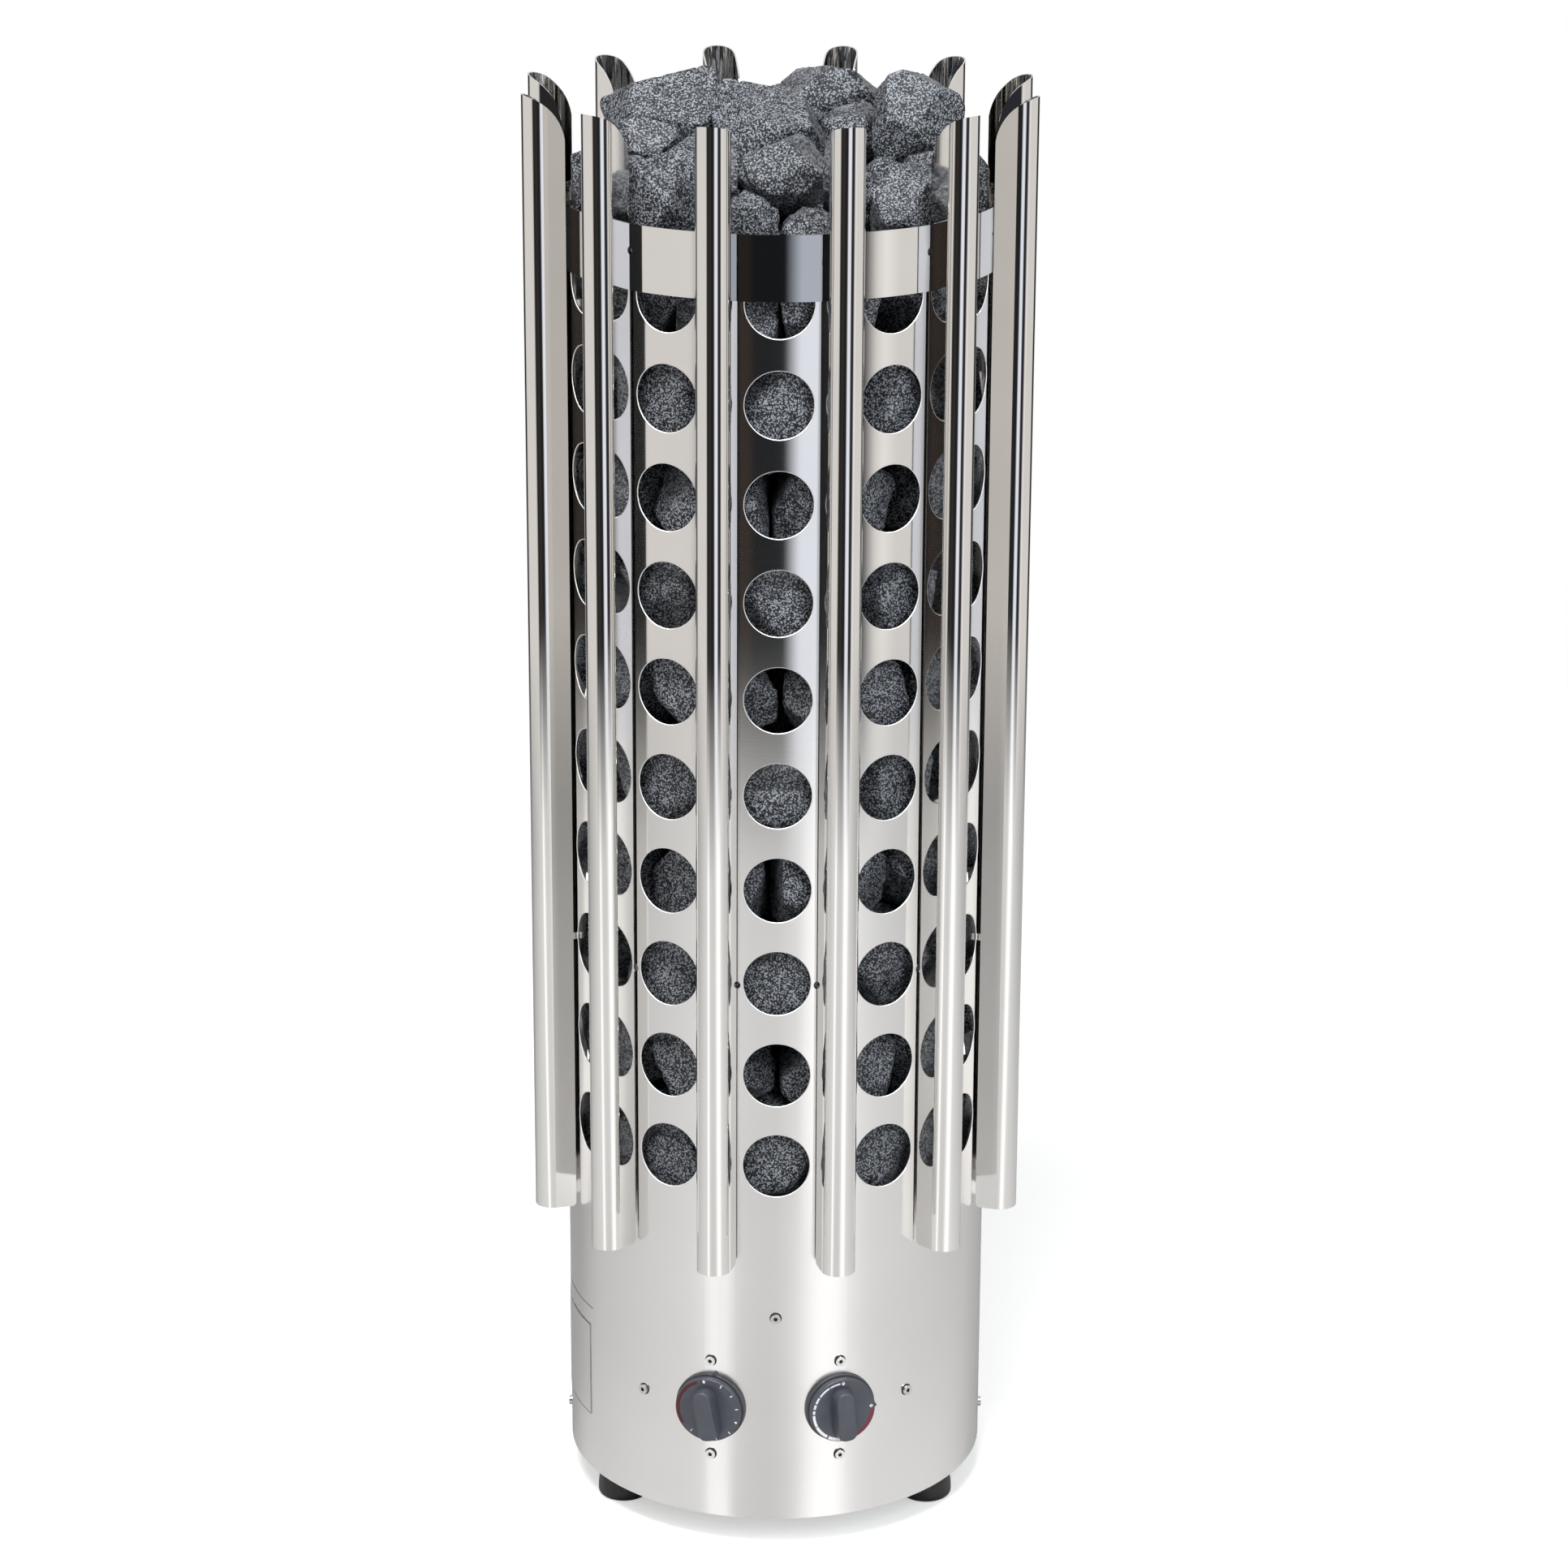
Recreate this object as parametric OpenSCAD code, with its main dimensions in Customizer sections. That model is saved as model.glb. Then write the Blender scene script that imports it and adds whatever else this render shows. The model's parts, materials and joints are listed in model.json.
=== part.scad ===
/* [Casing] */
// Outer diameter of the pillar casing
casing_d = 320; // [300:1:360]
// Sheet thickness of the casing
casing_t = 1.5; // [1:0.1:2]
// Height of the casing's lower edge above the floor
casing_bottom_z = 24; // [22:1:30]
// Height of the casing from its lower edge to its upper edge
casing_h = 981; // [900:1:1100]
// Diameter of the round air holes
hole_d = 50; // [40:1:52]
// Number of holes in a column
hole_rows = 10; // [6:1:10]
// Height of the lowest row's hole centres above the stone grate
hole_first_rise = 42.5; // [40:0.5:46]
// Distance from the casing's upper edge down to the highest row's hole centres
hole_top_drop = 47.2; // [44:0.1:60]

/* [Band] */
// Sheet thickness of the ring round the rim
band_t = 1.5; // [1:0.1:2]
// Height of the ring
band_h = 47; // [42:1:55]
// How far the ring stands up above the casing's edge
band_rise = 2; // [1:1:5]
// Clearance between the bare plate on the front of the ring and the slats beside it
front_plate_gap = 0.4; // [0.3:0.1:3]
// Thickness of the bare front plate
front_plate_t = 0.8; // [0.5:0.1:1]

/* [Slats] */
// Width of a slat across its two side walls
slat_w = 25.5; // [22:0.5:26.5]
// Sheet thickness of a slat
slat_t = 1.2; // [1:0.1:1.5]
// How far a slat stands out from the casing
slat_depth = 30; // [26:0.5:34]
// Height of a slat's lower end above the heat shield
slat_bottom_rise = 32.5; // [28:0.5:42]
// How far a slat's tip stands up above the casing's edge
slat_top_rise = 80; // [65:1:95]
// Radius of the arc that cuts a slat's upper end
slat_cut_r = 38; // [34:1:44]
// Radius of the corner beside the casing at a slat's lower end
slat_corner_r = 5; // [3:0.5:7]
// Distance from a slat's lower end up to its lower fixing tabs
tab_low_rise = 219.5; // [212:0.5:225]
// Distance from the casing's upper edge down to the upper fixing tabs
tab_high_drop = 17; // [12:1:25]
// Upright width of a fixing tab
tab_h = 5; // [4:0.5:7]
// Clearance round a fixing tab in its hole
tab_gap = 0.43; // [0.3:0.01:0.8]
// How far a fixing tab stands inside the casing
tab_reach = 4.5; // [3:0.5:6]

/* [Knobs] */
// Angle of each knob from the front, round the casing
knob_angle = 17.6; // [16:0.1:19]
// Height of the knob axes above the casing's lower edge
knob_rise = 90.5; // [86:0.5:98]
// Diameter of a knob's dial
knob_d = 51; // [45:0.5:52]
// Thickness of a knob's dial
knob_t = 5.5; // [5:0.5:9]
// Height of the grip bar above the dial
grip_h = 10; // [8:0.5:14]
// Width of the grip bar at its top
grip_w = 13.5; // [10:0.5:15]
// Width of the grip bar where it meets the dial
grip_root_w = 17; // [15:0.5:18]
// Distance from the dial's rim in to the grip bar's upper end
grip_top_inset = 7; // [5:0.5:10]
// Distance from the dial's rim in to the grip bar's lower end
grip_bottom_inset = 4; // [3:0.5:8]
// How far the fixed collar behind a knob stands out round the dial
collar_rim = 1.5; // [1:0.1:3]
// Thickness of the fixed collar in front of the casing
collar_t = 2.6; // [2:0.1:6]
// Gap between a turning knob and its collar
knob_gap = 0.4; // [0.3:0.1:0.6]
// Diameter of a control shaft
shaft_d = 6; // [5:0.5:8]

/* [Feet] */
// Distance from the casing's outer face in to a foot's centre
foot_inset = 25; // [22:1:30]
// Largest diameter of a rubber foot
foot_d = 40; // [36:1:42]
// Height of the foot's widest line above the floor
foot_belly_z = 4; // [3:0.5:6]
// Diameter of a foot's upper end
foot_neck_d = 24; // [20:1:26]

/* [Floors] */
// Height of the bottom plate's underside above the casing's lower edge
bottom_plate_rise = 4; // [2:1:6]
// Sheet thickness of the inner plates
plate_t = 2; // [1.5:0.1:2.5]
// Height of the heat shield's upper face above the knob axes
shield_rise = 87.5; // [82:0.5:94]
// Height of the element plate's upper face above the heat shield's
element_plate_rise = 38; // [34:1:42]
// Height of the stone grate's upper face above the element plate's
grate_rise = 30; // [27:1:34]
// Height of the turned flange of each plate
flange_h = 18; // [14:1:22]
// Clearance between a plate's flange and the casing
flange_fit = 0.1; // [0.1:0.05:0.2]

/* [Elements] */
// Diameter of an element's steel tube
element_d = 8.2; // [7:0.1:9]
// Distance from the heater's axis to the plane of an element
element_r = 70; // [69:0.5:71]
// Distance between the two legs of an element
element_leg_gap = 36; // [32:1:38]
// Distance from the casing's upper edge down to an element's upper bend
element_top_drop = 105; // [100:1:145]

/* [Stones] */
// Clearance between the stones and the casing
stone_wall_gap = 6.5; // [5.5:0.5:10.5]
// Number of stones in the core of a layer
core_stones = 2; // [2:1:3]
// Mean width of a stone
stone_w = 82; // [78:1:88]
// Gap between two stones that lie on each other
stone_gap = 0.4; // [0.3:0.1:0.6]

/* [Hidden] */

overrun = 1;
fine_fn = 96;
coarse_fn = 48;
hex_fn = 6;
full_turn = 360;
half_turn = 180;
quarter_turn = 90;

slat_count = 12;
foot_count = 3;
element_count = 6;

casing_r = casing_d / 2;
casing_inner_r = casing_r - casing_t;
casing_top_z = casing_bottom_z + casing_h;
bottom_plate_z = casing_bottom_z + bottom_plate_rise;
knob_z = casing_bottom_z + knob_rise;
shield_z = knob_z + shield_rise;
element_plate_z = shield_z + element_plate_rise;
grate_z = element_plate_z + grate_rise;
element_top_z = casing_top_z - element_top_drop;
hole_first_z = grate_z + hole_first_rise;
hole_pitch = (casing_top_z - hole_top_drop - hole_first_z) / (hole_rows - 1);
band_top_z = casing_top_z + band_rise;
band_bottom_z = band_top_z - band_h;
band_fit = 0.1;
band_inner_r = casing_r + band_fit;
band_r = band_inner_r + band_t;
slat_step = full_turn / slat_count;
slat_half_w = slat_w / 2;
slat_nose_r = casing_r + slat_depth;
slat_bottom_z = shield_z + slat_bottom_rise;
slat_top_z = casing_top_z + slat_top_rise;

// The slat's walls end just clear of the ring that they stand against
slat_seat_gap = 0.3;
slat_inner_r = sqrt(pow(band_r, 2) - pow(slat_half_w, 2)) + slat_seat_gap;
slat_nose_centre_r = slat_nose_r - slat_half_w;
// The arc at either end runs out just past the edge that it rounds off
slat_cut_bite = 0.4;
slat_cut_centre_r = slat_inner_r + slat_cut_r - slat_cut_bite;
slat_corner_centre_r = slat_inner_r + slat_corner_r - slat_cut_bite;
slat_corner_z = slat_bottom_z + slat_corner_r - slat_cut_bite;
slat_cut_z = slat_top_z - sqrt(pow(slat_cut_r, 2) - pow(slat_cut_centre_r - slat_nose_r, 2));
tab_offset = slat_half_w - slat_t / 2;
tab_low_z = slat_bottom_z + tab_low_rise;
tab_high_z = casing_top_z - tab_high_drop;
tab_hole_d = norm([tab_h, slat_t]) + 2 * tab_gap;

// Screws on the housing
screw_head_d = 7.5;
screw_head_h = 2.2;
screw_shank_d = 4;
screw_gap = 0.2;
screw_hole_d = screw_shank_d + 2 * screw_gap;
screw_socket_d = 2.9;
screw_socket_depth = 1.3;
upper_screw_rise = 37.5;
lower_screw_drop = 39.5;
side_screw_rise = 1;
upper_screw_z = knob_z + upper_screw_rise;
lower_screw_z = knob_z - lower_screw_drop;
side_screw_z = knob_z + side_screw_rise;
side_screw_angle = 38.3;
shield_screw_angle = 120;
shield_screw_drop = 12;
shield_screw_z = shield_z - shield_screw_drop;
bottom_screw_rise = 17;
bottom_screw_z = bottom_plate_z + bottom_screw_rise;
screw_nib = 2;
screw_seat = 0.1;
seat_clear = 0.3;
bottom_flange_h = 24;
spacer_d = 8;

// Control bracket: a sheet bent at the middle into two flat panels
bracket_gap = 10.5;
bracket_t = 2;
bracket_r = casing_inner_r - bracket_gap - bracket_t;
bracket_drop = 54.5;
bracket_rise = 55;
bracket_bottom_z = knob_z - bracket_drop;
bracket_top_z = knob_z + bracket_rise;
bracket_wing_r = casing_inner_r - flange_fit - bracket_t;
bracket_wing_angle = 6.5;
bracket_wing_h = 32;
bracket_bite = 0.8;
bracket_reach = bracket_reach_to(bracket_wing_r - seat_clear);
bracket_wing_reach = bracket_reach_to(bracket_wing_r + bracket_bite);
shaft_gap = 4;
shaft_hole_d = shaft_d + shaft_gap;
bracket_overlap_angle = 3;
bracket_half_gap = (bracket_r + bracket_t / 2) * tan(knob_angle);

// How far a flat panel reaches sideways until its outer corner meets a radius
function bracket_reach_to(r) = sqrt(pow(r, 2) - pow(bracket_r + bracket_t, 2));

// Switch bodies behind the bracket
switch_w = 42;
switch_h = 48;
switch_depth = 32;
switch_bush_wall = 1.9;
switch_bush_d = shaft_d + 2 * switch_bush_wall;
switch_bush_l = 8;
switch_nut_rim = 2.1;
switch_nut_af = switch_bush_d + 2 * switch_nut_rim;
switch_nut_t = 2.5;
shaft_fit = 0.05;
shaft_depth = 14;
shaft_end_gap = 1;
collar_fit = 0.2;
flat_share = 0.25;
pointer_w = 8;
pointer_l = 4.5;
timer_pointer_angle = 7.5;
thermostat_pointer_angle = 94;
timer_grip_angle = 10;
thermostat_grip_angle = 4;
knob_edge_r = 1;
shaft_socket_depth = 10;
dish_inset = 5.5;
dish_depth = 1.5;
dish_half_w = knob_d / 2 - dish_inset;
dish_r = (pow(dish_half_w, 2) + pow(dish_depth, 2)) / (2 * dish_depth);
grip_top_reach = knob_d / 2 - grip_top_inset;
grip_bottom_reach = knob_d / 2 - grip_bottom_inset;

// The collar's back lies just below the casing's face, out to the pointer's tip
collar_d = knob_d + 2 * collar_rim;
collar_tip_r = (collar_d + pointer_l) / 2;
collar_back = casing_r - sqrt(pow(casing_r, 2) - pow(collar_tip_r, 2)) + overrun;
switch_tab_w = 6.3;
switch_tab_t = 0.8;
switch_tab_l = 8;
timer_tab_count = 4;
thermostat_tab_count = 3;

// Thermostat sensor: a bulb on the element plate, joined by a thin tube
bulb_d = 6;
bulb_z = element_plate_z + bulb_d / 2 + seat_clear;
bulb_l = 70;
capillary_d = 2;
capillary_fn = 16;
capillary_lead = 4;
capillary_bend_r = 6;
capillary_low_z = knob_z + switch_h / 2 + seat_clear;
sensor_angle = 37;
sensor_set_back = 28;
sensor_r = bracket_r - sensor_set_back;
clip_w = 8;
clip_t = 1;
clip_foot = 6;

foot_circle_r = casing_r - foot_inset;
foot_bottom_d = 33;
foot_sole_angle = -60;
foot_sole_step_angle = 20;
foot_dome_step_angle = 10;
foot_screw_d = 5;
foot_screw_head_rim = 2;
foot_screw_head_d = foot_screw_d + 2 * foot_screw_head_rim;
foot_screw_head_h = 3.5;
foot_screw_recess = 8;
foot_screw_fit = 0.05;
foot_nut_rim = 1.5;
foot_nut_af = foot_screw_d + 2 * foot_nut_rim;
foot_nut_h = 4;
thread_nib = 1;

shield_hole_d = 30;
bush_wall = 1.9;
bush_d = element_d + 2 * bush_wall;
bush_head_rim = 1;
bush_head_af = bush_d + 2 * bush_head_rim;
bush_nut_rim = 2;
bush_nut_af = bush_d + 2 * bush_nut_rim;
bush_head_h = 5;
bush_nut_h = 5;
bush_l = 20;
bush_fit = 0.05;
stud_d = 4;
leg_below = 18;
short_stud = 5;
long_stud = 9;
neutral_w = 9;
neutral_t = 2;

gland_angle = 150;
gland_r = 88;
gland_d = 25;
gland_bore_d = 14;
gland_hex_rim = 2.5;
gland_hex_af = gland_d + 2 * gland_hex_rim;
gland_hex_h = 6;
gland_cap_rim = 1.5;
gland_cap_d = gland_d + 2 * gland_cap_rim;
gland_cap_h = 13;
gland_thread_l = 14;
gland_nut_rim = 3.5;
gland_nut_af = gland_d + 2 * gland_nut_rim;
gland_nut_h = 5;

limiter_angle = 95;
limiter_r = 84;
limiter_w = 30;
limiter_l = 36;
limiter_h = 22;
limiter_thread_d = 10;
limiter_nut_rim = 2;
limiter_nut_af = limiter_thread_d + 2 * limiter_nut_rim;
limiter_nut_h = 3;
button_d = 5;
button_travel = 2;
button_fit = 0.1;
button_hole_depth = 12;

terminal_w = 60;
terminal_l = 26;
terminal_h = 26;
terminal_angle = 200;
terminal_r = 70;
terminal_pole_count = 5;
terminal_screw_d = 5;
terminal_screw_l = 12;
terminal_screw_sink = 1;
terminal_slot_w = 1;
terminal_slot_depth = 1;

label_t = 0.3;
label_start_angle = -62.2;
label_end_angle = -92;
label_rise = 45;
label_h = 76;
label_bottom_z = casing_bottom_z + label_rise;
label_top_z = label_bottom_z + label_h;

grate_leg_gap = 1.4;
grate_leg_hole_d = element_d + 2 * grate_leg_gap;
grate_slot_w = 7;
grate_slot_l = 46;
grate_slot_count = 18;
grate_slot_inset = 44.5;
grate_slot_r = casing_inner_r - grate_slot_inset;
vent_slot_count = 6;
vent_slot_r = 45;
vent_slot_l = 45;

// Stones: how far a seed strays, how many facets a rock has, and how deep they cut
sway_share = 0.12;
core_share = 0.45;
core_size_share = 0.95;
element_clear = 0.6;
facet_count = 9;
heap_facet_count = 13;
facet_lean_angle = 25;
facet_share_low = 0.84;
facet_share_high = 1.02;
neighbour_share = 1.6;
reach_share = 2;
golden_angle = 137.508;

// Where the random draws start: ring, core, rim, heap, and the steps per facet and layer
draw_keys = [7, 14, 21, 35, 37, 10];
seed_key = draw_keys[0];
core_key = draw_keys[1];
rim_key = draw_keys[2];
heap_key = draw_keys[3];
facet_key = draw_keys[4];
layer_key = draw_keys[5];
heap_h = 160;

// The layers share out the height below the room for the top ring and the heap's foot
stone_space_r = casing_inner_r - stone_wall_gap;
stone_half_w = stone_w / 2;
ring_inset = 36.9;
rim_depth = 98;
layer_share = 0.866;
layers_height = band_top_z - grate_z - rim_depth;
stone_layers = round(layers_height / (stone_w * layer_share));
layer_h = layers_height / stone_layers;
group_count = 3;
layers_in_group = ceil(stone_layers / group_count);

// A shape set on the casing: the child's +Z points outwards and its +Y up
module facing(angle, r, z) {
    rotate([0, 0, angle]) translate([0, -r, z]) rotate([quarter_turn, 0, 0]) children();
}

module at_angle(angle, r, z) {
    rotate([0, 0, angle]) translate([0, -r, z]) children();
}

module ring(inner_r, outer_r, h) {
    difference() {
        cylinder(h = h, r = outer_r, $fn = fine_fn);
        translate([0, 0, -overrun]) cylinder(h = h + 2 * overrun, r = inner_r, $fn = fine_fn);
    }
}

module curved_sheet(inner_r, t, start_angle, end_angle, bottom_z, top_z) {
    translate([0, 0, bottom_z])
        rotate([0, 0, min(start_angle, end_angle) - quarter_turn])
            rotate_extrude(angle = abs(end_angle - start_angle), $fn = fine_fn)
                translate([inner_r, 0]) square([t, top_z - bottom_z]);
}

module hex_prism(af, h) {
    cylinder(h = h, d = af / cos(half_turn / hex_fn), $fn = hex_fn);
}

// Casing: one tube, plain below and pierced above

module outer_casing() {
    color("gainsboro") difference() {
        translate([0, 0, casing_bottom_z])
            ring(casing_inner_r, casing_r, casing_top_z - casing_bottom_z);
        casing_holes();
        for (z = [tab_low_z, tab_high_z]) tab_holes(z);
        screw_holes(screw_hole_d, casing_inner_r);
        for (side = [-1, 1])
            facing(side * knob_angle, casing_inner_r - overrun, knob_z)
                cylinder(h = casing_t + 2 * overrun, d = shaft_hole_d, $fn = coarse_fn);
    }
}

// Each drill starts where the wall's inner face lies at the hole's edge
module casing_holes() {
    drill_r = sqrt(pow(casing_inner_r, 2) - pow(hole_d / 2, 2)) - overrun;
    for (column = [0 : slat_count - 1], row = [0 : hole_rows - 1])
        facing(column * slat_step, drill_r, hole_first_z + row * hole_pitch)
            cylinder(h = casing_r + overrun - drill_r, d = hole_d, $fn = fine_fn);
}

module tab_holes(z) {
    for (i = [0 : slat_count - 1], side = [-1, 1])
        rotate([0, 0, (i + 0.5) * slat_step])
            translate([side * tab_offset, -casing_inner_r + 2 * overrun, z])
                rotate([quarter_turn, 0, 0])
                    cylinder(h = casing_t + band_t + 4 * overrun, d = tab_hole_d, $fn = coarse_fn);
}

module screw_holes(d, r) {
    for (place = housing_screw_places())
        facing(place[0], r - overrun, place[1])
            cylinder(h = casing_t + 2 * overrun, d = d, $fn = coarse_fn);
}

function front_screw_places() = [
    [0, shield_screw_z],
    for (side = [-1, 1]) each [
        [side * knob_angle, upper_screw_z],
        [side * knob_angle, lower_screw_z],
        [side * side_screw_angle, side_screw_z]
    ]
];
function shield_screw_places() = [for (side = [-1, 1]) [side * shield_screw_angle, shield_screw_z]];
function bottom_screw_places() = [
    for (angle = [-quarter_turn, quarter_turn, half_turn]) [angle, bottom_screw_z]
];
function housing_screw_places() = concat(
    front_screw_places(), shield_screw_places(), bottom_screw_places());

module top_band() {
    color("silver") difference() {
        translate([0, 0, band_bottom_z])
            ring(band_inner_r, band_r, band_top_z - band_bottom_z);
        tab_holes(tab_high_z);
    }
}

module front_plate() {
    plate_r = band_r + band_fit;
    half_span = slat_step / 2 - asin((slat_half_w + front_plate_gap) / (plate_r + front_plate_t));
    color("dimgray")
        curved_sheet(plate_r, front_plate_t, -half_span, half_span, band_bottom_z, band_top_z);
}

// Slats: bent channels, open towards the casing

module slat(index) {
    color("silver") rotate([0, 0, (index - 0.5) * slat_step]) {
        difference() {
            intersection() {
                translate([0, 0, slat_bottom_z])
                    linear_extrude(height = slat_top_z - slat_bottom_z) slat_profile();
                slat_end_space();
            }
            slat_corner_space();
        }
        for (z = [tab_low_z, tab_high_z], side = [-1, 1]) slat_tab(z, side);
    }
}

module slat_profile() {
    difference() {
        slat_outline(slat_half_w, slat_inner_r);
        slat_outline(slat_half_w - slat_t, slat_inner_r - overrun);
    }
}

module slat_outline(half_w, inner_r) {
    translate([0, -slat_nose_centre_r]) circle(r = half_w, $fn = fine_fn);
    translate([-half_w, -slat_nose_centre_r])
        square([2 * half_w, slat_nose_centre_r - inner_r]);
}

// The space under the arc that cuts the slat's upper end
module slat_end_space() {
    translate([-slat_w, -slat_nose_r - overrun, slat_bottom_z - overrun])
        cube([2 * slat_w, slat_nose_r, slat_cut_z - slat_bottom_z + overrun]);
    translate([-slat_w, -slat_cut_centre_r, slat_cut_z])
        rotate([0, quarter_turn, 0]) cylinder(h = 2 * slat_w, r = slat_cut_r, $fn = fine_fn);
}

// The space outside the rounded corner at the slat's lower end
module slat_corner_space() {
    difference() {
        translate([-slat_w, -slat_corner_centre_r, slat_bottom_z - overrun])
            cube([2 * slat_w, slat_corner_r + overrun, slat_corner_z - slat_bottom_z + overrun]);
        translate([-2 * slat_w, -slat_corner_centre_r, slat_corner_z])
            rotate([0, quarter_turn, 0]) cylinder(h = 4 * slat_w, r = slat_corner_r, $fn = fine_fn);
    }
}

module slat_tab(z, side) {
    tab_end_r = casing_inner_r - tab_reach;
    translate([side * tab_offset - slat_t / 2, -slat_inner_r - overrun, z - tab_h / 2])
        cube([slat_t, slat_inner_r + overrun - tab_end_r, tab_h]);
}

// Floors of the casing

module flanged_plate(top_z, down, depth) {
    outer_r = casing_inner_r - flange_fit;
    translate([0, 0, top_z - plate_t]) cylinder(h = plate_t, r = outer_r, $fn = fine_fn);
    flange_z = down ? top_z - depth : top_z - plate_t;
    translate([0, 0, flange_z]) ring(outer_r - plate_t, outer_r, depth);
}

module flange_screw_holes(places) {
    for (place = places)
        facing(place[0], casing_inner_r - flange_fit - plate_t - overrun, place[1])
            cylinder(h = plate_t + 2 * overrun, d = screw_shank_d, $fn = coarse_fn);
}

module bottom_plate() {
    color("darkgray") difference() {
        flanged_plate(bottom_plate_z + plate_t, false, bottom_flange_h);
        for (i = [0 : foot_count - 1])
            at_angle(foot_angle(i), foot_circle_r, bottom_plate_z - overrun)
                cylinder(h = plate_t + 2 * overrun, d = foot_screw_d, $fn = coarse_fn);
        for (i = [0 : vent_slot_count - 1])
            rotate([0, 0, i * full_turn / vent_slot_count])
                slot(vent_slot_r, vent_slot_l, bottom_plate_z);
        at_angle(gland_angle, gland_r, bottom_plate_z - overrun)
            cylinder(h = plate_t + 2 * overrun, d = gland_d, $fn = coarse_fn);
        at_angle(limiter_angle, limiter_r, bottom_plate_z - overrun)
            cylinder(h = plate_t + 2 * overrun, d = limiter_thread_d, $fn = coarse_fn);
        flange_screw_holes(bottom_screw_places());
    }
}

function foot_angle(i) = half_turn + i * full_turn / foot_count;

// A radial air slot, cut through a plate whose underside is at z
module slot(r, l, z) {
    translate([0, -r, z - overrun]) {
        translate([-grate_slot_w / 2, -l / 2, 0])
            cube([grate_slot_w, l, plate_t + 2 * overrun]);
        for (side = [-1, 1])
            translate([0, side * l / 2, 0])
                cylinder(h = plate_t + 2 * overrun, d = grate_slot_w, $fn = coarse_fn);
    }
}

module foot(index) {
    color("black") at_angle(foot_angle(index), foot_circle_r, 0) difference() {
        rotate_extrude($fn = fine_fn) polygon(foot_profile());
        translate([0, 0, -overrun])
            cylinder(h = bottom_plate_z + 2 * overrun, d = foot_screw_d, $fn = coarse_fn);
        translate([0, 0, -overrun])
            cylinder(h = foot_screw_recess + overrun, d = foot_screw_head_d, $fn = coarse_fn);
    }
}

// Half section of a foot: flat sole, rounded belly, dome up to the neck
function foot_profile() = [
    [0, 0],
    [foot_bottom_d / 2, 0],
    for (a = [foot_sole_angle : foot_sole_step_angle : 0])
        [foot_bottom_d / 2 + (foot_d - foot_bottom_d) / 2 * cos(a), foot_belly_z * (1 + sin(a))],
    for (a = [foot_dome_step_angle : foot_dome_step_angle : quarter_turn])
        [foot_neck_d / 2 + (foot_d - foot_neck_d) / 2 * cos(a),
         foot_belly_z + (bottom_plate_z - foot_belly_z) * sin(a)],
    [0, bottom_plate_z]
];

module foot_screws() {
    color("silver") for (i = [0 : foot_count - 1])
        at_angle(foot_angle(i), foot_circle_r, 0) {
            translate([0, 0, foot_screw_recess - foot_screw_head_h])
                cylinder(h = foot_screw_head_h, d = foot_screw_head_d - 2 * foot_screw_fit,
                         $fn = coarse_fn);
            translate([0, 0, foot_screw_recess - overrun])
                cylinder(h = bottom_plate_z + plate_t + foot_nut_h + thread_nib + overrun
                             - foot_screw_recess,
                         d = foot_screw_d - 2 * foot_screw_fit, $fn = coarse_fn);
            translate([0, 0, bottom_plate_z + plate_t]) difference() {
                hex_prism(foot_nut_af, foot_nut_h);
                translate([0, 0, -overrun])
                    cylinder(h = foot_nut_h + 2 * overrun, d = foot_screw_d, $fn = coarse_fn);
            }
        }
}

module bottom_screws() {
    color("silver") for (place = bottom_screw_places()) housing_screw(place, casing_t + plate_t);
}

// A pan screw with a hex socket, seated on the casing; its shank ends reach inside it
module housing_screw(place, reach) {
    facing(place[0], casing_r + screw_seat, place[1]) difference() {
        union() {
            cylinder(h = screw_head_h, d = screw_head_d, $fn = coarse_fn);
            translate([0, 0, -reach - screw_nib])
                cylinder(h = reach + screw_nib + screw_head_h / 2,
                         d = screw_shank_d - 2 * shaft_fit, $fn = coarse_fn);
        }
        translate([0, 0, screw_head_h - screw_socket_depth]) hex_prism(screw_socket_d, screw_head_h);
    }
}

// Control panel behind the front of the casing

module control_bracket() {
    color("lightgray") difference() {
        union() {
            for (side = [-1, 1]) intersection() {
                bracket_panel(side);
                translate([side > 0 ? 0 : -casing_r, -casing_r, 0])
                    cube([casing_r, casing_r, bracket_top_z]);
            }
            for (side = [-1, 1]) bracket_wing(side);
        }
        for (side = [-1, 1]) {
            facing(side * knob_angle, bracket_r - overrun, knob_z)
                cylinder(h = bracket_t + 2 * overrun, d = switch_bush_d, $fn = coarse_fn);
            for (z = [upper_screw_z, lower_screw_z])
                facing(side * knob_angle, bracket_r - overrun, z)
                    cylinder(h = bracket_t + 2 * overrun, d = screw_shank_d, $fn = coarse_fn);
            facing(side * side_screw_angle, casing_inner_r - bracket_t - 2 * overrun, side_screw_z)
                cylinder(h = bracket_t + 3 * overrun, d = screw_shank_d, $fn = coarse_fn);
        }
    }
}

// A flat panel, clear of the plates' flanges; beside its wing it reaches out further
module bracket_panel(side) {
    wing_low_z = side_screw_z - bracket_wing_h / 2;
    rotate([0, 0, side * knob_angle]) {
        panel_sheet(side, bracket_reach, bracket_bottom_z, bracket_top_z);
        panel_sheet(side, bracket_wing_reach, wing_low_z, wing_low_z + bracket_wing_h);
    }
}

module panel_sheet(side, reach, low_z, top_z) {
    translate([side > 0 ? -bracket_half_gap - bracket_t : -reach, -bracket_r - bracket_t, low_z])
        cube([bracket_half_gap + bracket_t + reach, bracket_t, top_z - low_z]);
}

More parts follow.
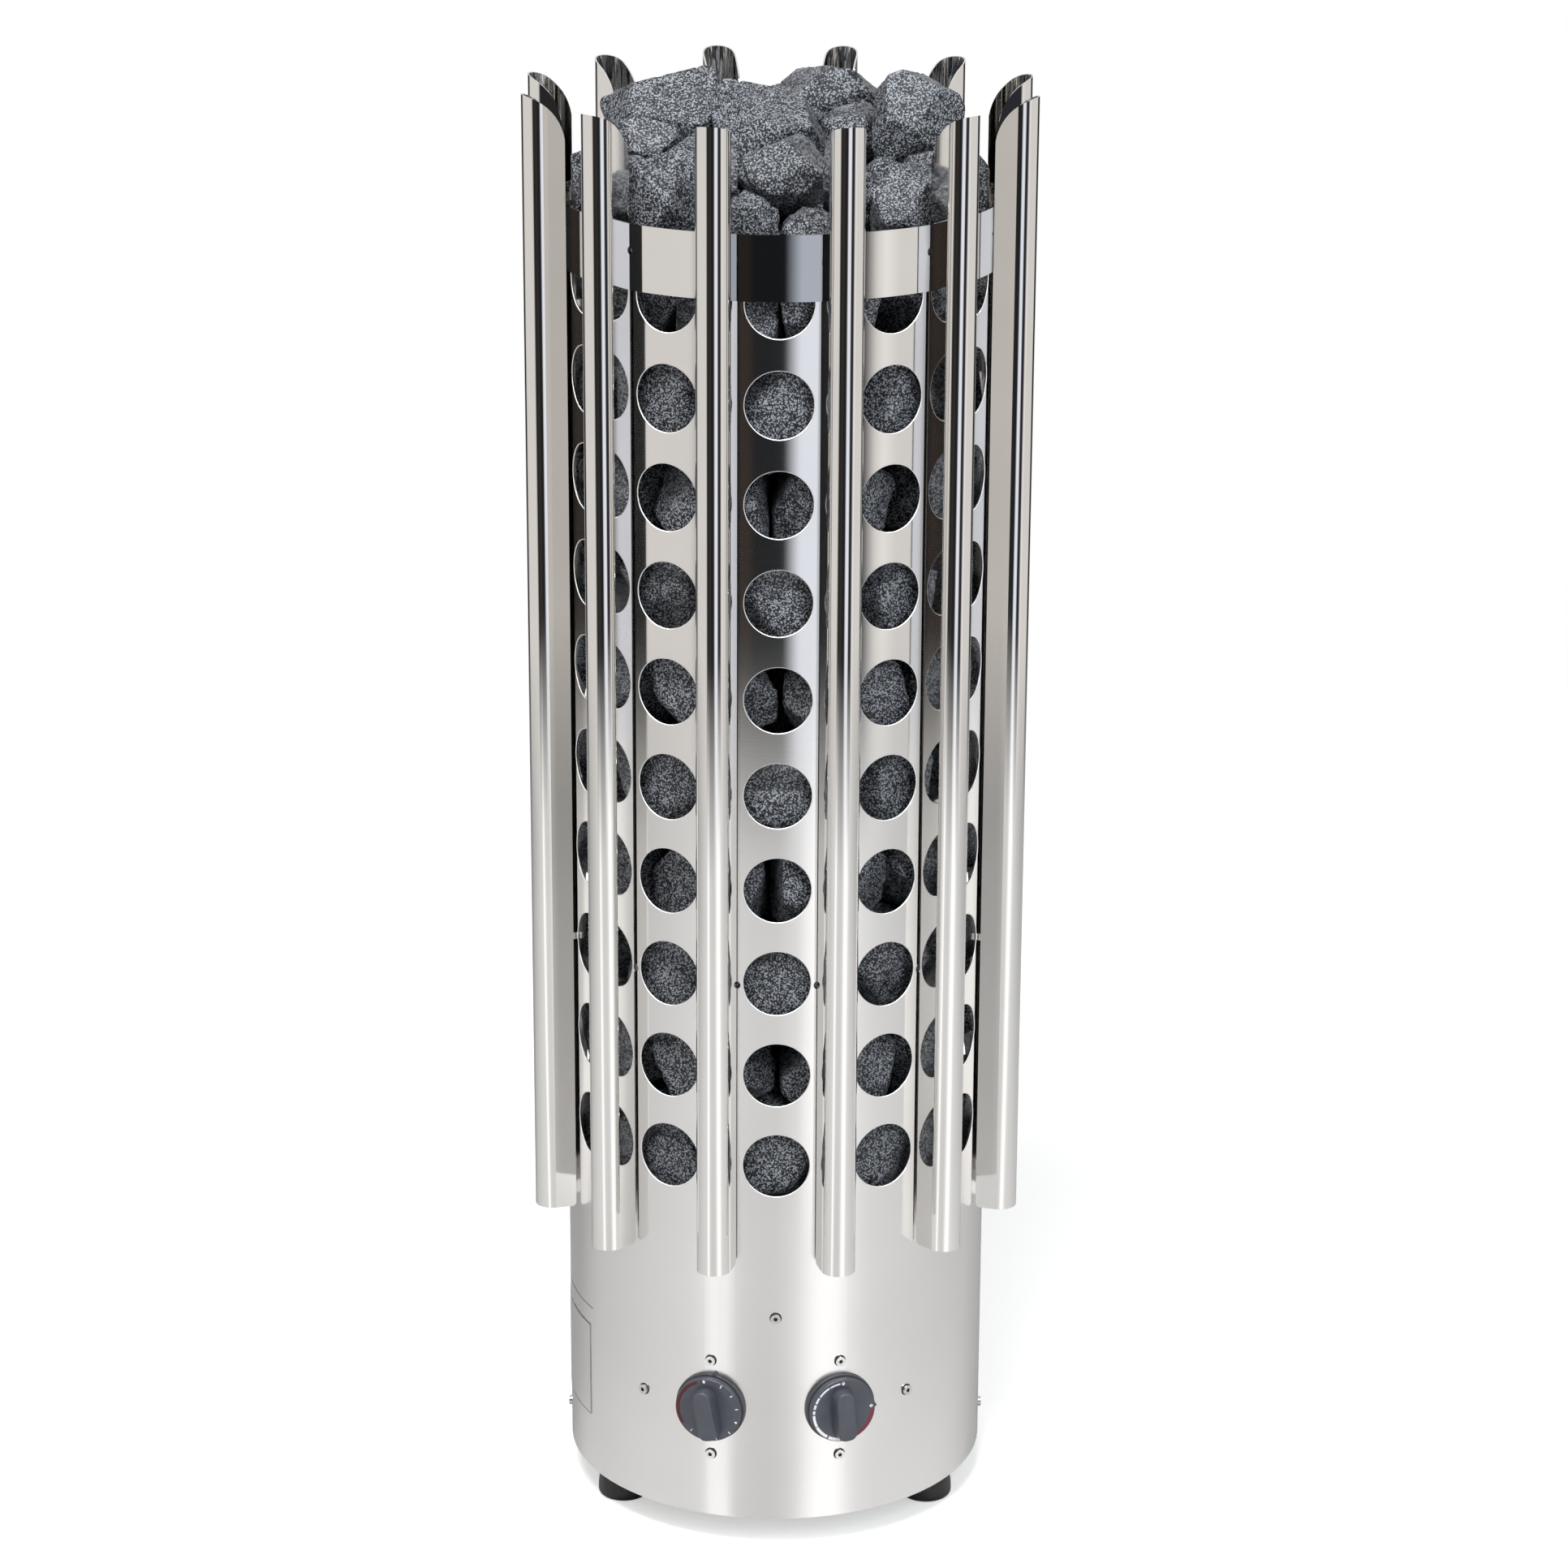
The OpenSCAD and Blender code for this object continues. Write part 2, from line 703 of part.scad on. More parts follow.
// The panel's end lies against the casing and takes the side screw
module bracket_wing(side) {
    panel_end_angle = knob_angle + atan(bracket_wing_reach / (bracket_r + bracket_t));
    curved_sheet(bracket_wing_r, bracket_t, side * (panel_end_angle - bracket_overlap_angle),
                 side * (panel_end_angle + bracket_wing_angle),
                 side_screw_z - bracket_wing_h / 2, side_screw_z + bracket_wing_h / 2);
}

module front_screws() {
    color("silver") {
        for (side = [-1, 1], z = [upper_screw_z, lower_screw_z])
            housing_screw([side * knob_angle, z], casing_r - bracket_r);
        for (side = [-1, 1])
            housing_screw([side * side_screw_angle, side_screw_z], casing_t + bracket_t);
        for (place = concat([[0, shield_screw_z]], shield_screw_places()))
            housing_screw(place, casing_t + plate_t);
    }
}

module screw_spacers() {
    spacer_l = sqrt(pow(casing_inner_r, 2) - pow(spacer_d / 2, 2)) - bracket_r - bracket_t - collar_fit;
    color("silver") for (side = [-1, 1], z = [upper_screw_z, lower_screw_z])
        facing(side * knob_angle, bracket_r + bracket_t, z) difference() {
            cylinder(h = spacer_l, d = spacer_d, $fn = coarse_fn);
            translate([0, 0, -overrun])
                cylinder(h = spacer_l + 2 * overrun, d = screw_hole_d, $fn = coarse_fn);
        }
}

// A rotary switch: its body lies behind the bracket, its threaded neck goes through it
module rotary_switch(side, tab_count) {
    facing(side * knob_angle, bracket_r, knob_z) difference() {
        union() {
            translate([-switch_w / 2, -switch_h / 2, -switch_depth])
                cube([switch_w, switch_h, switch_depth]);
            cylinder(h = switch_bush_l, d = switch_bush_d - 2 * shaft_fit, $fn = coarse_fn);
            for (i = [0 : tab_count - 1])
                translate([(i + 0.5 - tab_count / 2) * switch_w / tab_count - switch_tab_w / 2,
                           -switch_tab_t / 2, -switch_depth - switch_tab_l])
                    cube([switch_tab_w, switch_tab_t, switch_tab_l + overrun]);
        }
        translate([0, 0, -shaft_depth])
            cylinder(h = shaft_depth + switch_bush_l + overrun, d = shaft_d + 2 * shaft_fit,
                     $fn = coarse_fn);
    }
}

module timer_switch() { color("ivory") rotary_switch(-1, timer_tab_count); }
module thermostat_switch() { color("ivory") rotary_switch(1, thermostat_tab_count); }

module switch_nuts() {
    color("gold") for (side = [-1, 1])
        facing(side * knob_angle, bracket_r + bracket_t, knob_z) difference() {
            hex_prism(switch_nut_af, switch_nut_t);
            translate([0, 0, -overrun])
                cylinder(h = switch_nut_t + 2 * overrun, d = switch_bush_d, $fn = coarse_fn);
        }
}

// A shaft with a flat where the knob grips it
module control_shaft(side) {
    back_r = bracket_r - shaft_depth + shaft_end_gap;
    front_r = casing_r + collar_t + knob_gap + shaft_socket_depth - seat_clear;
    facing(side * knob_angle, back_r, knob_z) difference() {
        cylinder(h = front_r - back_r, d = shaft_d, $fn = coarse_fn);
        translate([-shaft_d, shaft_d / 2 - flat_share * shaft_d, casing_r - back_r])
            cube([2 * shaft_d, shaft_d, front_r]);
    }
}

module timer_shaft() { color("silver") control_shaft(-1); }
module thermostat_shaft() { color("silver") control_shaft(1); }

// The fixed collar follows the casing's curve and carries the pointer
module knob_collar(side, pointer_angle) {
    color("darkslategray") difference() {
        facing(side * knob_angle, casing_r - collar_back, knob_z) difference() {
            union() {
                cylinder(h = collar_back + collar_t, d = collar_d, $fn = fine_fn);
                rotate([0, 0, -pointer_angle])
                    translate([0, collar_d / 2 - pointer_l / 2, 0])
                        linear_extrude(height = collar_back + collar_t) polygon([
                            [-pointer_w / 2, 0], [pointer_w / 2, 0], [0, pointer_l]]);
            }
            translate([0, 0, -overrun])
                cylinder(h = collar_back + collar_t + 2 * overrun, d = shaft_hole_d,
                         $fn = coarse_fn);
        }
        translate([0, 0, knob_z - collar_d])
            cylinder(h = 2 * collar_d, r = casing_r + flange_fit, $fn = fine_fn);
    }
}

module timer_collar() { knob_collar(-1, timer_pointer_angle); }
module thermostat_collar() { knob_collar(1, thermostat_pointer_angle); }

// Dial with a rounded rim, a shallow dish and a grip bar across its face
module knob(side, grip_angle) {
    color("slategray") facing(side * knob_angle, casing_r + collar_t + knob_gap, knob_z) difference() {
        union() {
            difference() {
                rotate_extrude($fn = fine_fn) knob_profile();
                translate([0, 0, knob_t + dish_r - dish_depth]) sphere(r = dish_r, $fn = fine_fn);
            }
            rotate([0, 0, grip_angle]) grip_bar();
        }
        translate([0, 0, -overrun]) difference() {
            cylinder(h = shaft_socket_depth + overrun, d = shaft_d + 2 * shaft_fit,
                     $fn = coarse_fn);
            translate([-shaft_d, shaft_d / 2 + shaft_fit - flat_share * shaft_d, -overrun])
                cube([2 * shaft_d, shaft_d, shaft_socket_depth + 3 * overrun]);
        }
    }
}

module knob_profile() {
    square([knob_d / 2 - knob_edge_r, knob_t]);
    square([knob_d / 2, knob_t - knob_edge_r]);
    translate([knob_d / 2 - knob_edge_r, knob_t - knob_edge_r])
        intersection() {
            circle(r = knob_edge_r, $fn = coarse_fn);
            square([knob_edge_r, knob_edge_r]);
        }
}

// A bar with round ends, whose long sides lean in towards its top
module grip_bar() {
    half_w = grip_root_w / 2;
    top = grip_top_reach - half_w;
    bottom = grip_bottom_reach - half_w;
    lean = atan((half_w - grip_w / 2) / grip_h);
    difference() {
        translate([0, 0, knob_t - dish_depth])
            linear_extrude(height = grip_h + dish_depth) {
                translate([-half_w, -bottom]) square([grip_root_w, top + bottom]);
                for (end = [-bottom, top])
                    translate([0, end]) circle(d = grip_root_w, $fn = coarse_fn);
            }
        for (side = [-1, 1])
            translate([side * half_w, 0, knob_t]) rotate([0, -side * lean, 0])
                translate([(side - 1) * half_w, -knob_d, 0])
                    cube([grip_root_w, 2 * knob_d, 2 * grip_h]);
    }
}

module timer_knob() { knob(-1, timer_grip_angle); }
module thermostat_knob() { knob(1, thermostat_grip_angle); }

// Thermostat sensor on the element plate

module sensor_tube() {
    color("peru") {
        at_angle(sensor_angle, sensor_r, bulb_z)
            rotate([0, quarter_turn, 0])
                cylinder(h = bulb_l, d = bulb_d, center = true, $fn = coarse_fn);
        at_angle(sensor_angle, sensor_r, bulb_z) translate([-bulb_l / 2, 0, 0])
            capillary();
    }
}

// From the bulb's end back through the plates and down to the switch
module capillary() {
    bend_r = capillary_bend_r;
    drop = bulb_z - capillary_low_z;
    rotate([0, -quarter_turn, 0]) cylinder(h = capillary_lead, d = capillary_d, $fn = capillary_fn);
    translate([-capillary_lead, 0, -bend_r]) rotate([quarter_turn, 0, 0])
        rotate([0, 0, quarter_turn])
            rotate_extrude(angle = quarter_turn, $fn = coarse_fn)
                translate([bend_r, 0]) circle(d = capillary_d, $fn = capillary_fn);
    translate([-capillary_lead - bend_r, 0, -drop])
        cylinder(h = drop - bend_r, d = capillary_d, $fn = capillary_fn);
}

module sensor_clip() {
    clip_outer = bulb_d / 2 + seat_clear;
    color("silver") for (side = [-1, 1])
        at_angle(sensor_angle, sensor_r, element_plate_z)
            translate([side * bulb_l / 4 - clip_w / 2, 0, 0])
                difference() {
                    union() {
                        translate([0, -clip_outer - clip_t, 0])
                            cube([clip_w, 2 * (clip_outer + clip_t), bulb_z - element_plate_z]);
                        translate([0, 0, bulb_z - element_plate_z]) rotate([0, quarter_turn, 0])
                            cylinder(h = clip_w, r = clip_outer + clip_t, $fn = coarse_fn);
                        translate([0, -clip_outer - clip_foot, 0])
                            cube([clip_w, 2 * (clip_outer + clip_foot), clip_t]);
                    }
                    translate([-overrun, 0, bulb_z - element_plate_z])
                        rotate([0, quarter_turn, 0])
                            cylinder(h = clip_w + 2 * overrun, r = clip_outer, $fn = coarse_fn);
                    translate([-overrun, -clip_outer, -overrun])
                        cube([clip_w + 2 * overrun, 2 * clip_outer,
                              bulb_z - element_plate_z + overrun]);
                }
}

// Overheat limiter on the bottom plate, with its reset button underneath

module overheat_limiter() {
    color("black") at_angle(limiter_angle, limiter_r, bottom_plate_z + plate_t) difference() {
        union() {
            translate([-limiter_w / 2, -limiter_l / 2, 0]) cube([limiter_w, limiter_l, limiter_h]);
            translate([0, 0, -plate_t - limiter_nut_h - thread_nib])
                cylinder(h = plate_t + limiter_nut_h + thread_nib + overrun,
                         d = limiter_thread_d - 2 * shaft_fit, $fn = coarse_fn);
        }
        translate([0, 0, -plate_t - limiter_nut_h - 2 * thread_nib])
            cylinder(h = button_hole_depth + plate_t + limiter_nut_h + 2 * thread_nib,
                     d = button_d + 2 * button_fit, $fn = coarse_fn);
    }
}

module limiter_nut() {
    color("silver") at_angle(limiter_angle, limiter_r, bottom_plate_z - limiter_nut_h) difference() {
        hex_prism(limiter_nut_af, limiter_nut_h);
        translate([0, 0, -overrun])
            cylinder(h = limiter_nut_h + 2 * overrun, d = limiter_thread_d, $fn = coarse_fn);
    }
}

module reset_button() {
    low_z = bottom_plate_z - limiter_nut_h - thread_nib - button_travel - seat_clear;
    top_z = bottom_plate_z + plate_t + button_hole_depth - button_travel - seat_clear;
    color("red") at_angle(limiter_angle, limiter_r, low_z)
        cylinder(h = top_z - low_z, d = button_d, $fn = coarse_fn);
}

// Mains connection

module terminal_block() {
    color("ivory") at_angle(terminal_angle, terminal_r, bottom_plate_z + plate_t) difference() {
        translate([-terminal_w / 2, -terminal_l / 2, 0]) cube([terminal_w, terminal_l, terminal_h]);
        for (i = [0 : terminal_pole_count - 1])
            translate([terminal_x(i), 0, terminal_h - terminal_screw_l])
                cylinder(h = terminal_screw_l + overrun, d = terminal_screw_d + 2 * shaft_fit,
                         $fn = coarse_fn);
    }
}

function terminal_x(i) = (i + 0.5 - terminal_pole_count / 2) * terminal_w / terminal_pole_count;

module terminal_screws() {
    color("silver") at_angle(terminal_angle, terminal_r, bottom_plate_z + plate_t)
        for (i = [0 : terminal_pole_count - 1])
            translate([terminal_x(i), 0, terminal_h - terminal_screw_l]) difference() {
                cylinder(h = terminal_screw_l - terminal_screw_sink, d = terminal_screw_d,
                         $fn = coarse_fn);
                translate([-terminal_screw_d, -terminal_slot_w / 2,
                           terminal_screw_l - terminal_screw_sink - terminal_slot_depth])
                    cube([2 * terminal_screw_d, terminal_slot_w, terminal_slot_depth + overrun]);
            }
}

module cable_gland() {
    color("dimgray") at_angle(gland_angle, gland_r, bottom_plate_z) difference() {
        union() {
            translate([0, 0, -gland_hex_h]) hex_prism(gland_hex_af, gland_hex_h);
            translate([0, 0, -gland_hex_h - gland_cap_h])
                cylinder(h = gland_cap_h, d = gland_cap_d, $fn = coarse_fn);
            cylinder(h = gland_thread_l, d = gland_d - 2 * shaft_fit, $fn = coarse_fn);
        }
        translate([0, 0, -gland_hex_h - gland_cap_h - overrun])
            cylinder(h = gland_hex_h + gland_cap_h + gland_thread_l + 2 * overrun,
                     d = gland_bore_d, $fn = coarse_fn);
    }
}

module gland_nut() {
    color("dimgray") at_angle(gland_angle, gland_r, bottom_plate_z + plate_t) difference() {
        hex_prism(gland_nut_af, gland_nut_h);
        translate([0, 0, -overrun])
            cylinder(h = gland_nut_h + 2 * overrun, d = gland_d, $fn = coarse_fn);
    }
}

// Plates that shut off the housing and carry the elements and the stones

module heat_shield() {
    color("darkgray") difference() {
        flanged_plate(shield_z, true, flange_h);
        translate([0, 0, shield_z - plate_t - overrun])
            cylinder(h = plate_t + 2 * overrun, d = shield_hole_d, $fn = coarse_fn);
        capillary_hole(shield_z);
        flange_screw_holes(concat([[0, shield_screw_z]], shield_screw_places()));
    }
}

module capillary_hole(top_z) {
    at_angle(sensor_angle, sensor_r, top_z - plate_t - overrun)
        translate([-bulb_l / 2 - capillary_lead - capillary_bend_r, 0, 0])
            cylinder(h = plate_t + 2 * overrun, d = capillary_d + 2 * seat_clear, $fn = coarse_fn);
}

module element_plate() {
    color("darkgray") difference() {
        flanged_plate(element_plate_z, true, flange_h);
        for (i = [0 : element_count - 1], side = [-1, 1])
            element_leg(i, side) translate([0, 0, element_plate_z - plate_t - overrun])
                cylinder(h = plate_t + 2 * overrun, d = bush_d, $fn = coarse_fn);
        capillary_hole(element_plate_z);
    }
}

module element_leg(index, side) {
    rotate([0, 0, index * full_turn / element_count])
        translate([side * element_leg_gap / 2, -element_r, 0]) children();
}

module element_bushes() {
    color("gold") for (i = [0 : element_count - 1], side = [-1, 1])
        element_leg(i, side) difference() {
            union() {
                translate([0, 0, element_plate_z]) hex_prism(bush_head_af, bush_head_h);
                translate([0, 0, element_plate_z + bush_head_h - bush_l])
                    cylinder(h = bush_l - overrun, d = bush_d - 2 * shaft_fit, $fn = coarse_fn);
            }
            translate([0, 0, element_plate_z + bush_head_h - bush_l - overrun])
                cylinder(h = bush_l + 2 * overrun, d = element_d + 2 * bush_fit, $fn = coarse_fn);
        }
}

module element_nuts() {
    color("gold") for (i = [0 : element_count - 1], side = [-1, 1])
        element_leg(i, side) translate([0, 0, element_plate_z - plate_t - bush_nut_h]) difference() {
            hex_prism(bush_nut_af, bush_nut_h);
            translate([0, 0, -overrun])
                cylinder(h = bush_nut_h + 2 * overrun, d = bush_d, $fn = coarse_fn);
        }
}

// A hairpin: two legs, the bend, and a terminal stud under each leg
module element(index) {
    low_z = element_plate_z - leg_below;
    bend_z = element_top_z - element_leg_gap / 2 - element_d / 2;
    color("dimgray") {
        for (side = [-1, 1]) element_leg(index, side) {
            translate([0, 0, low_z]) rotate([0, 0, side < 0 ? half_turn : 0])
                cylinder(h = bend_z - low_z, d = element_d, $fn = coarse_fn);
            stud_l = side < 0 ? long_stud : short_stud;
            translate([0, 0, low_z - stud_l])
                cylinder(h = stud_l + overrun, d = stud_d, $fn = coarse_fn);
        }
        rotate([0, 0, index * full_turn / element_count]) translate([0, -element_r, bend_z])
            rotate([quarter_turn, 0, 0]) rotate_extrude(angle = half_turn, $fn = fine_fn)
                translate([element_leg_gap / 2, 0]) circle(d = element_d, $fn = coarse_fn);
    }
}

// The ring that joins one leg of each element
module neutral_ring() {
    stud_circle_r = norm([element_r, element_leg_gap / 2]);
    ring_z = element_plate_z - leg_below - long_stud;
    color("peru") difference() {
        translate([0, 0, ring_z])
            ring(stud_circle_r - neutral_w / 2, stud_circle_r + neutral_w / 2, neutral_t);
        for (i = [0 : element_count - 1]) element_leg(i, -1) translate([0, 0, ring_z - overrun])
            cylinder(h = neutral_t + 2 * overrun, d = stud_d + 2 * shaft_fit, $fn = coarse_fn);
    }
}

module stone_grate() {
    color("dimgray") difference() {
        flanged_plate(grate_z, true, flange_h);
        for (i = [0 : element_count - 1], side = [-1, 1])
            element_leg(i, side) translate([0, 0, grate_z - plate_t - overrun])
                cylinder(h = plate_t + 2 * overrun, d = grate_leg_hole_d, $fn = coarse_fn);
        for (i = [0 : grate_slot_count - 1])
            rotate([0, 0, (i + 0.5) * full_turn / grate_slot_count])
                slot(grate_slot_r, grate_slot_l, grate_z - plate_t);
    }
}

module rating_plate() {
    color("whitesmoke")
        curved_sheet(casing_r + band_fit, label_t, label_end_angle, label_start_angle,
                     label_bottom_z, label_top_z);
}

// Stones: angular rocks packed on each other, each one cut by flat faces

function polar(angle, r, z) = [r * sin(angle), -r * cos(angle), z];

function layer_z(layer) = grate_z + (layer + 0.5) * layer_h;

// Each seed is [centre, half width, half height]
function ring_layer(layer, count, r, size) = [
    for (k = [0 : count - 1])
        let(wander = rands(-1, 1, 3, seed_key + layer * layer_key * count + k))
        [polar((k + layer % 2 / 2 + wander[0] * sway_share) * full_turn / count,
               r + wander[1] * sway_share * stone_half_w,
               layer_z(layer) + wander[2] * sway_share * stone_half_w), size, size]
];

ring_r = stone_space_r - ring_inset;
ring_stones = round(PI * ring_r / stone_half_w);
ring_seeds = [for (layer = [0 : stone_layers - 1]) each
    ring_layer(layer, ring_stones, ring_r, stone_half_w)];
core_seeds = [for (layer = [0 : stone_layers - 1]) each
    ring_layer(layer, core_stones, element_r * core_share, stone_half_w * core_size_share)];
rim_seeds = concat(
    ring_layer(stone_layers, ring_stones, ring_r, stone_half_w),
    ring_layer(stone_layers, core_stones + 1, element_r * core_share, stone_half_w));

// Heap above the rim, placed one by one: to the right and to the back as shares of
// the stone space, height over the ring's top, half width and half height as shares
// of a stone's half size
heap_place_shares = [
    [-0.58, -0.63, 0.20, 0.76, 0.80], [-0.13, -0.84, -0.05, 0.49, 0.61],
    [0.14, -0.84, -0.20, 0.54, 0.59], [0.05, -0.64, 0.73, 0.78, 0.61],
    [0.60, -0.59, 0.05, 0.80, 0.80], [0.72, -0.39, 0.22, 0.83, 0.78],
    [-0.71, -0.38, 0.24, 0.83, 0.83], [-0.61, -0.25, 0.90, 0.71, 0.63],
    [-0.53, 0.16, 1.20, 1.12, 0.78], [-0.05, -0.23, 1.00, 1.02, 0.88],
    [0.24, 0.36, 1.17, 1.10, 0.73], [0.36, 0.00, 1.05, 0.59, 0.54],
    [0.62, -0.08, 1.24, 0.83, 1.02], [0.78, -0.03, 0.12, 0.83, 0.83],
    [-0.41, -0.39, 0.51, 0.68, 0.63], [0.48, -0.45, 0.27, 0.66, 0.63],
    [-0.80, -0.01, 0.12, 0.83, 0.83], [0.66, 0.35, 0.27, 0.93, 0.88],
    [0.38, 0.65, 0.32, 0.93, 0.83], [0.00, 0.75, 0.41, 0.93, 0.83],
    [-0.38, 0.65, 0.29, 0.93, 0.88], [-0.66, 0.35, 0.37, 0.93, 0.83],
    [-0.25, -0.13, -0.02, 0.83, 0.78], [0.25, -0.14, -0.07, 0.83, 0.78],
    [0.00, 0.28, -0.02, 0.88, 0.83], [-0.12, 0.51, 0.80, 0.83, 0.73]
];
heap_seeds = [for (place = heap_place_shares)
    [[place[0] * stone_space_r, place[1] * stone_space_r, band_top_z + place[2] * stone_half_w],
     place[3] * stone_half_w, place[4] * stone_half_w]];

outer_seeds = concat(ring_seeds, rim_seeds, heap_seeds);
inner_seeds = concat(core_seeds, rim_seeds);
all_seeds = concat(ring_seeds, inner_seeds, heap_seeds);
core_r = element_r - element_d / 2 - element_clear;
outer_clear_r = norm([element_r, element_leg_gap / 2]) + element_d / 2 + element_clear;

// Facets spread evenly over a ball and turned at random: [direction, distance]
function facets(seed, count, key) = [
    for (i = [0 : count - 1])
        let(rise = 1 - 2 * (i + 0.5) / count, reach = sqrt(1 - rise * rise),
            pick = rands(-1, 1, 2, key * facet_key + i),
            turn = i * golden_angle + key * golden_angle + pick[0] * facet_lean_angle,
            share = (facet_share_low + facet_share_high
                     + pick[1] * (facet_share_high - facet_share_low)) / 2)
        [[reach * cos(turn), reach * sin(turn), rise],
         share * norm([reach * seed[1], rise * seed[2]])]
];

function near(a, b) = norm(a[0] - b[0]) < neighbour_share * (a[1] + b[1]);

// Everything behind a plane, out to a stone's full reach
module half_space(point, direction, reach) {
    translate(point)
        rotate([0, acos(direction[2]), atan2(direction[1], direction[0])])
            translate([-reach, -reach, -2 * reach]) cube(2 * reach);
}

// One rock: its own facets, cut where its neighbours begin
module rock(seed, rivals, count, key) {
    centre = seed[0];
    size = seed[1];
    reach = reach_share * size;
    intersection() {
        intersection_for(facet = facets(seed, count, key))
            half_space(centre + facet[0] * facet[1], facet[0], reach);
        intersection_for(rival = rivals) {
            apart = rival[0] - centre;
            toward = apart / norm(apart);
            half_space(centre + apart * size / (size + rival[1]) - toward * stone_gap / 2,
                       toward, reach);
        }
    }
}

// A group of rocks, kept inside the space between two heights and two radii
module rocks(own, others, count, key, bottom_z, top_z, inner_r, outer_r) {
    color("darkslategray") intersection() {
        translate([0, 0, bottom_z])
            difference() {
                cylinder(h = top_z - bottom_z, r = outer_r, $fn = fine_fn);
                if (inner_r > 0) translate([0, 0, -overrun])
                    cylinder(h = top_z - bottom_z + 2 * overrun, r = inner_r, $fn = fine_fn);
            }
        for (i = [0 : len(own) - 1])
            rock(own[i], [for (rival = others) if (rival != own[i] && near(own[i], rival)) rival],
                 count, key + i);
    }
}

function part_of(list, first, count) = [
    for (i = [first : min(first + count, len(list)) - 1]) list[i]];

// Layers of stones round the elements, and the stones of the core inside them
module stone_group(group) {
    first = group * layers_in_group;
    rocks(part_of(ring_seeds, first * ring_stones, layers_in_group * ring_stones), outer_seeds,
          facet_count, seed_key + first * ring_stones, grate_z + seat_clear, band_top_z,
          outer_clear_r, stone_space_r);
    rocks(part_of(core_seeds, first * core_stones, layers_in_group * core_stones), inner_seeds,
          facet_count, core_key + first * core_stones, grate_z + seat_clear, band_top_z, 0, core_r);
}

module stones_lower() { stone_group(0); }
module stones_middle() { stone_group(1); }
module stones_upper() { stone_group(2); }

module stones_rim() {
    rocks(rim_seeds, all_seeds, facet_count, rim_key, element_top_z + element_clear,
          band_top_z + heap_h, 0, stone_space_r);
}

module stones_heap() {
    rocks(heap_seeds, all_seeds, heap_facet_count, heap_key, element_top_z + element_clear,
          band_top_z + heap_h, 0, stone_space_r);
}

outer_casing();
top_band();
front_plate();
slat(1);  // slat_01
slat(2);  // slat_02
slat(3);  // slat_03
slat(4);  // slat_04
slat(5);  // slat_05
slat(6);  // slat_06
slat(7);  // slat_07
slat(8);  // slat_08
slat(9);  // slat_09
slat(10);  // slat_10
slat(11);  // slat_11
slat(12);  // slat_12
bottom_plate();
foot(1);  // foot_left
foot(2);  // foot_right
foot(0);  // foot_rear
foot_screws();
bottom_screws();
control_bracket();
front_screws();
screw_spacers();
timer_switch();
timer_shaft();
timer_collar();
timer_knob();
thermostat_switch();
thermostat_shaft();
thermostat_collar();
thermostat_knob();
switch_nuts();
sensor_tube();
sensor_clip();
overheat_limiter();
limiter_nut();
reset_button();
terminal_block();
terminal_screws();
cable_gland();
gland_nut();
heat_shield();
element_plate();
element_bushes();
element_nuts();
element(0);  // element_1
element(1);  // element_2
element(2);  // element_3
element(3);  // element_4
element(4);  // element_5
element(5);  // element_6
neutral_ring();
stone_grate();
rating_plate();
stones_lower();
stones_middle();
stones_upper();
stones_rim();
stones_heap();
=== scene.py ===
import json
import math

import bmesh
import bpy
import numpy as np
from mathutils import Matrix, Vector, noise


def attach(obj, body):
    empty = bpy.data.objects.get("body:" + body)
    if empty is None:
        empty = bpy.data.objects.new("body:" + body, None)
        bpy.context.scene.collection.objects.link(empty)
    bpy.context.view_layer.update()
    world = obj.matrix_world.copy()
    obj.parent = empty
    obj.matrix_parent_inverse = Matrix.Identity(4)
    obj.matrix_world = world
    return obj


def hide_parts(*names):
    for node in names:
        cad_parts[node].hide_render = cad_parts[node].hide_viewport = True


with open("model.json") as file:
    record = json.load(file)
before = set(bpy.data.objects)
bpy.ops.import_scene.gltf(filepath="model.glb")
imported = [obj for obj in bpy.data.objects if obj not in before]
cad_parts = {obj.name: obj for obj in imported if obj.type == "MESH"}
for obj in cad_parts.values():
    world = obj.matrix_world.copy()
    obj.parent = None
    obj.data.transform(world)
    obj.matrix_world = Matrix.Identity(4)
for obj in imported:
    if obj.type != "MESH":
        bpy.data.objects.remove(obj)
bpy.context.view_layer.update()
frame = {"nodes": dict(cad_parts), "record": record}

nodes = frame["nodes"]
MM = 0.001

# ---------------------------------------------------------------- materials


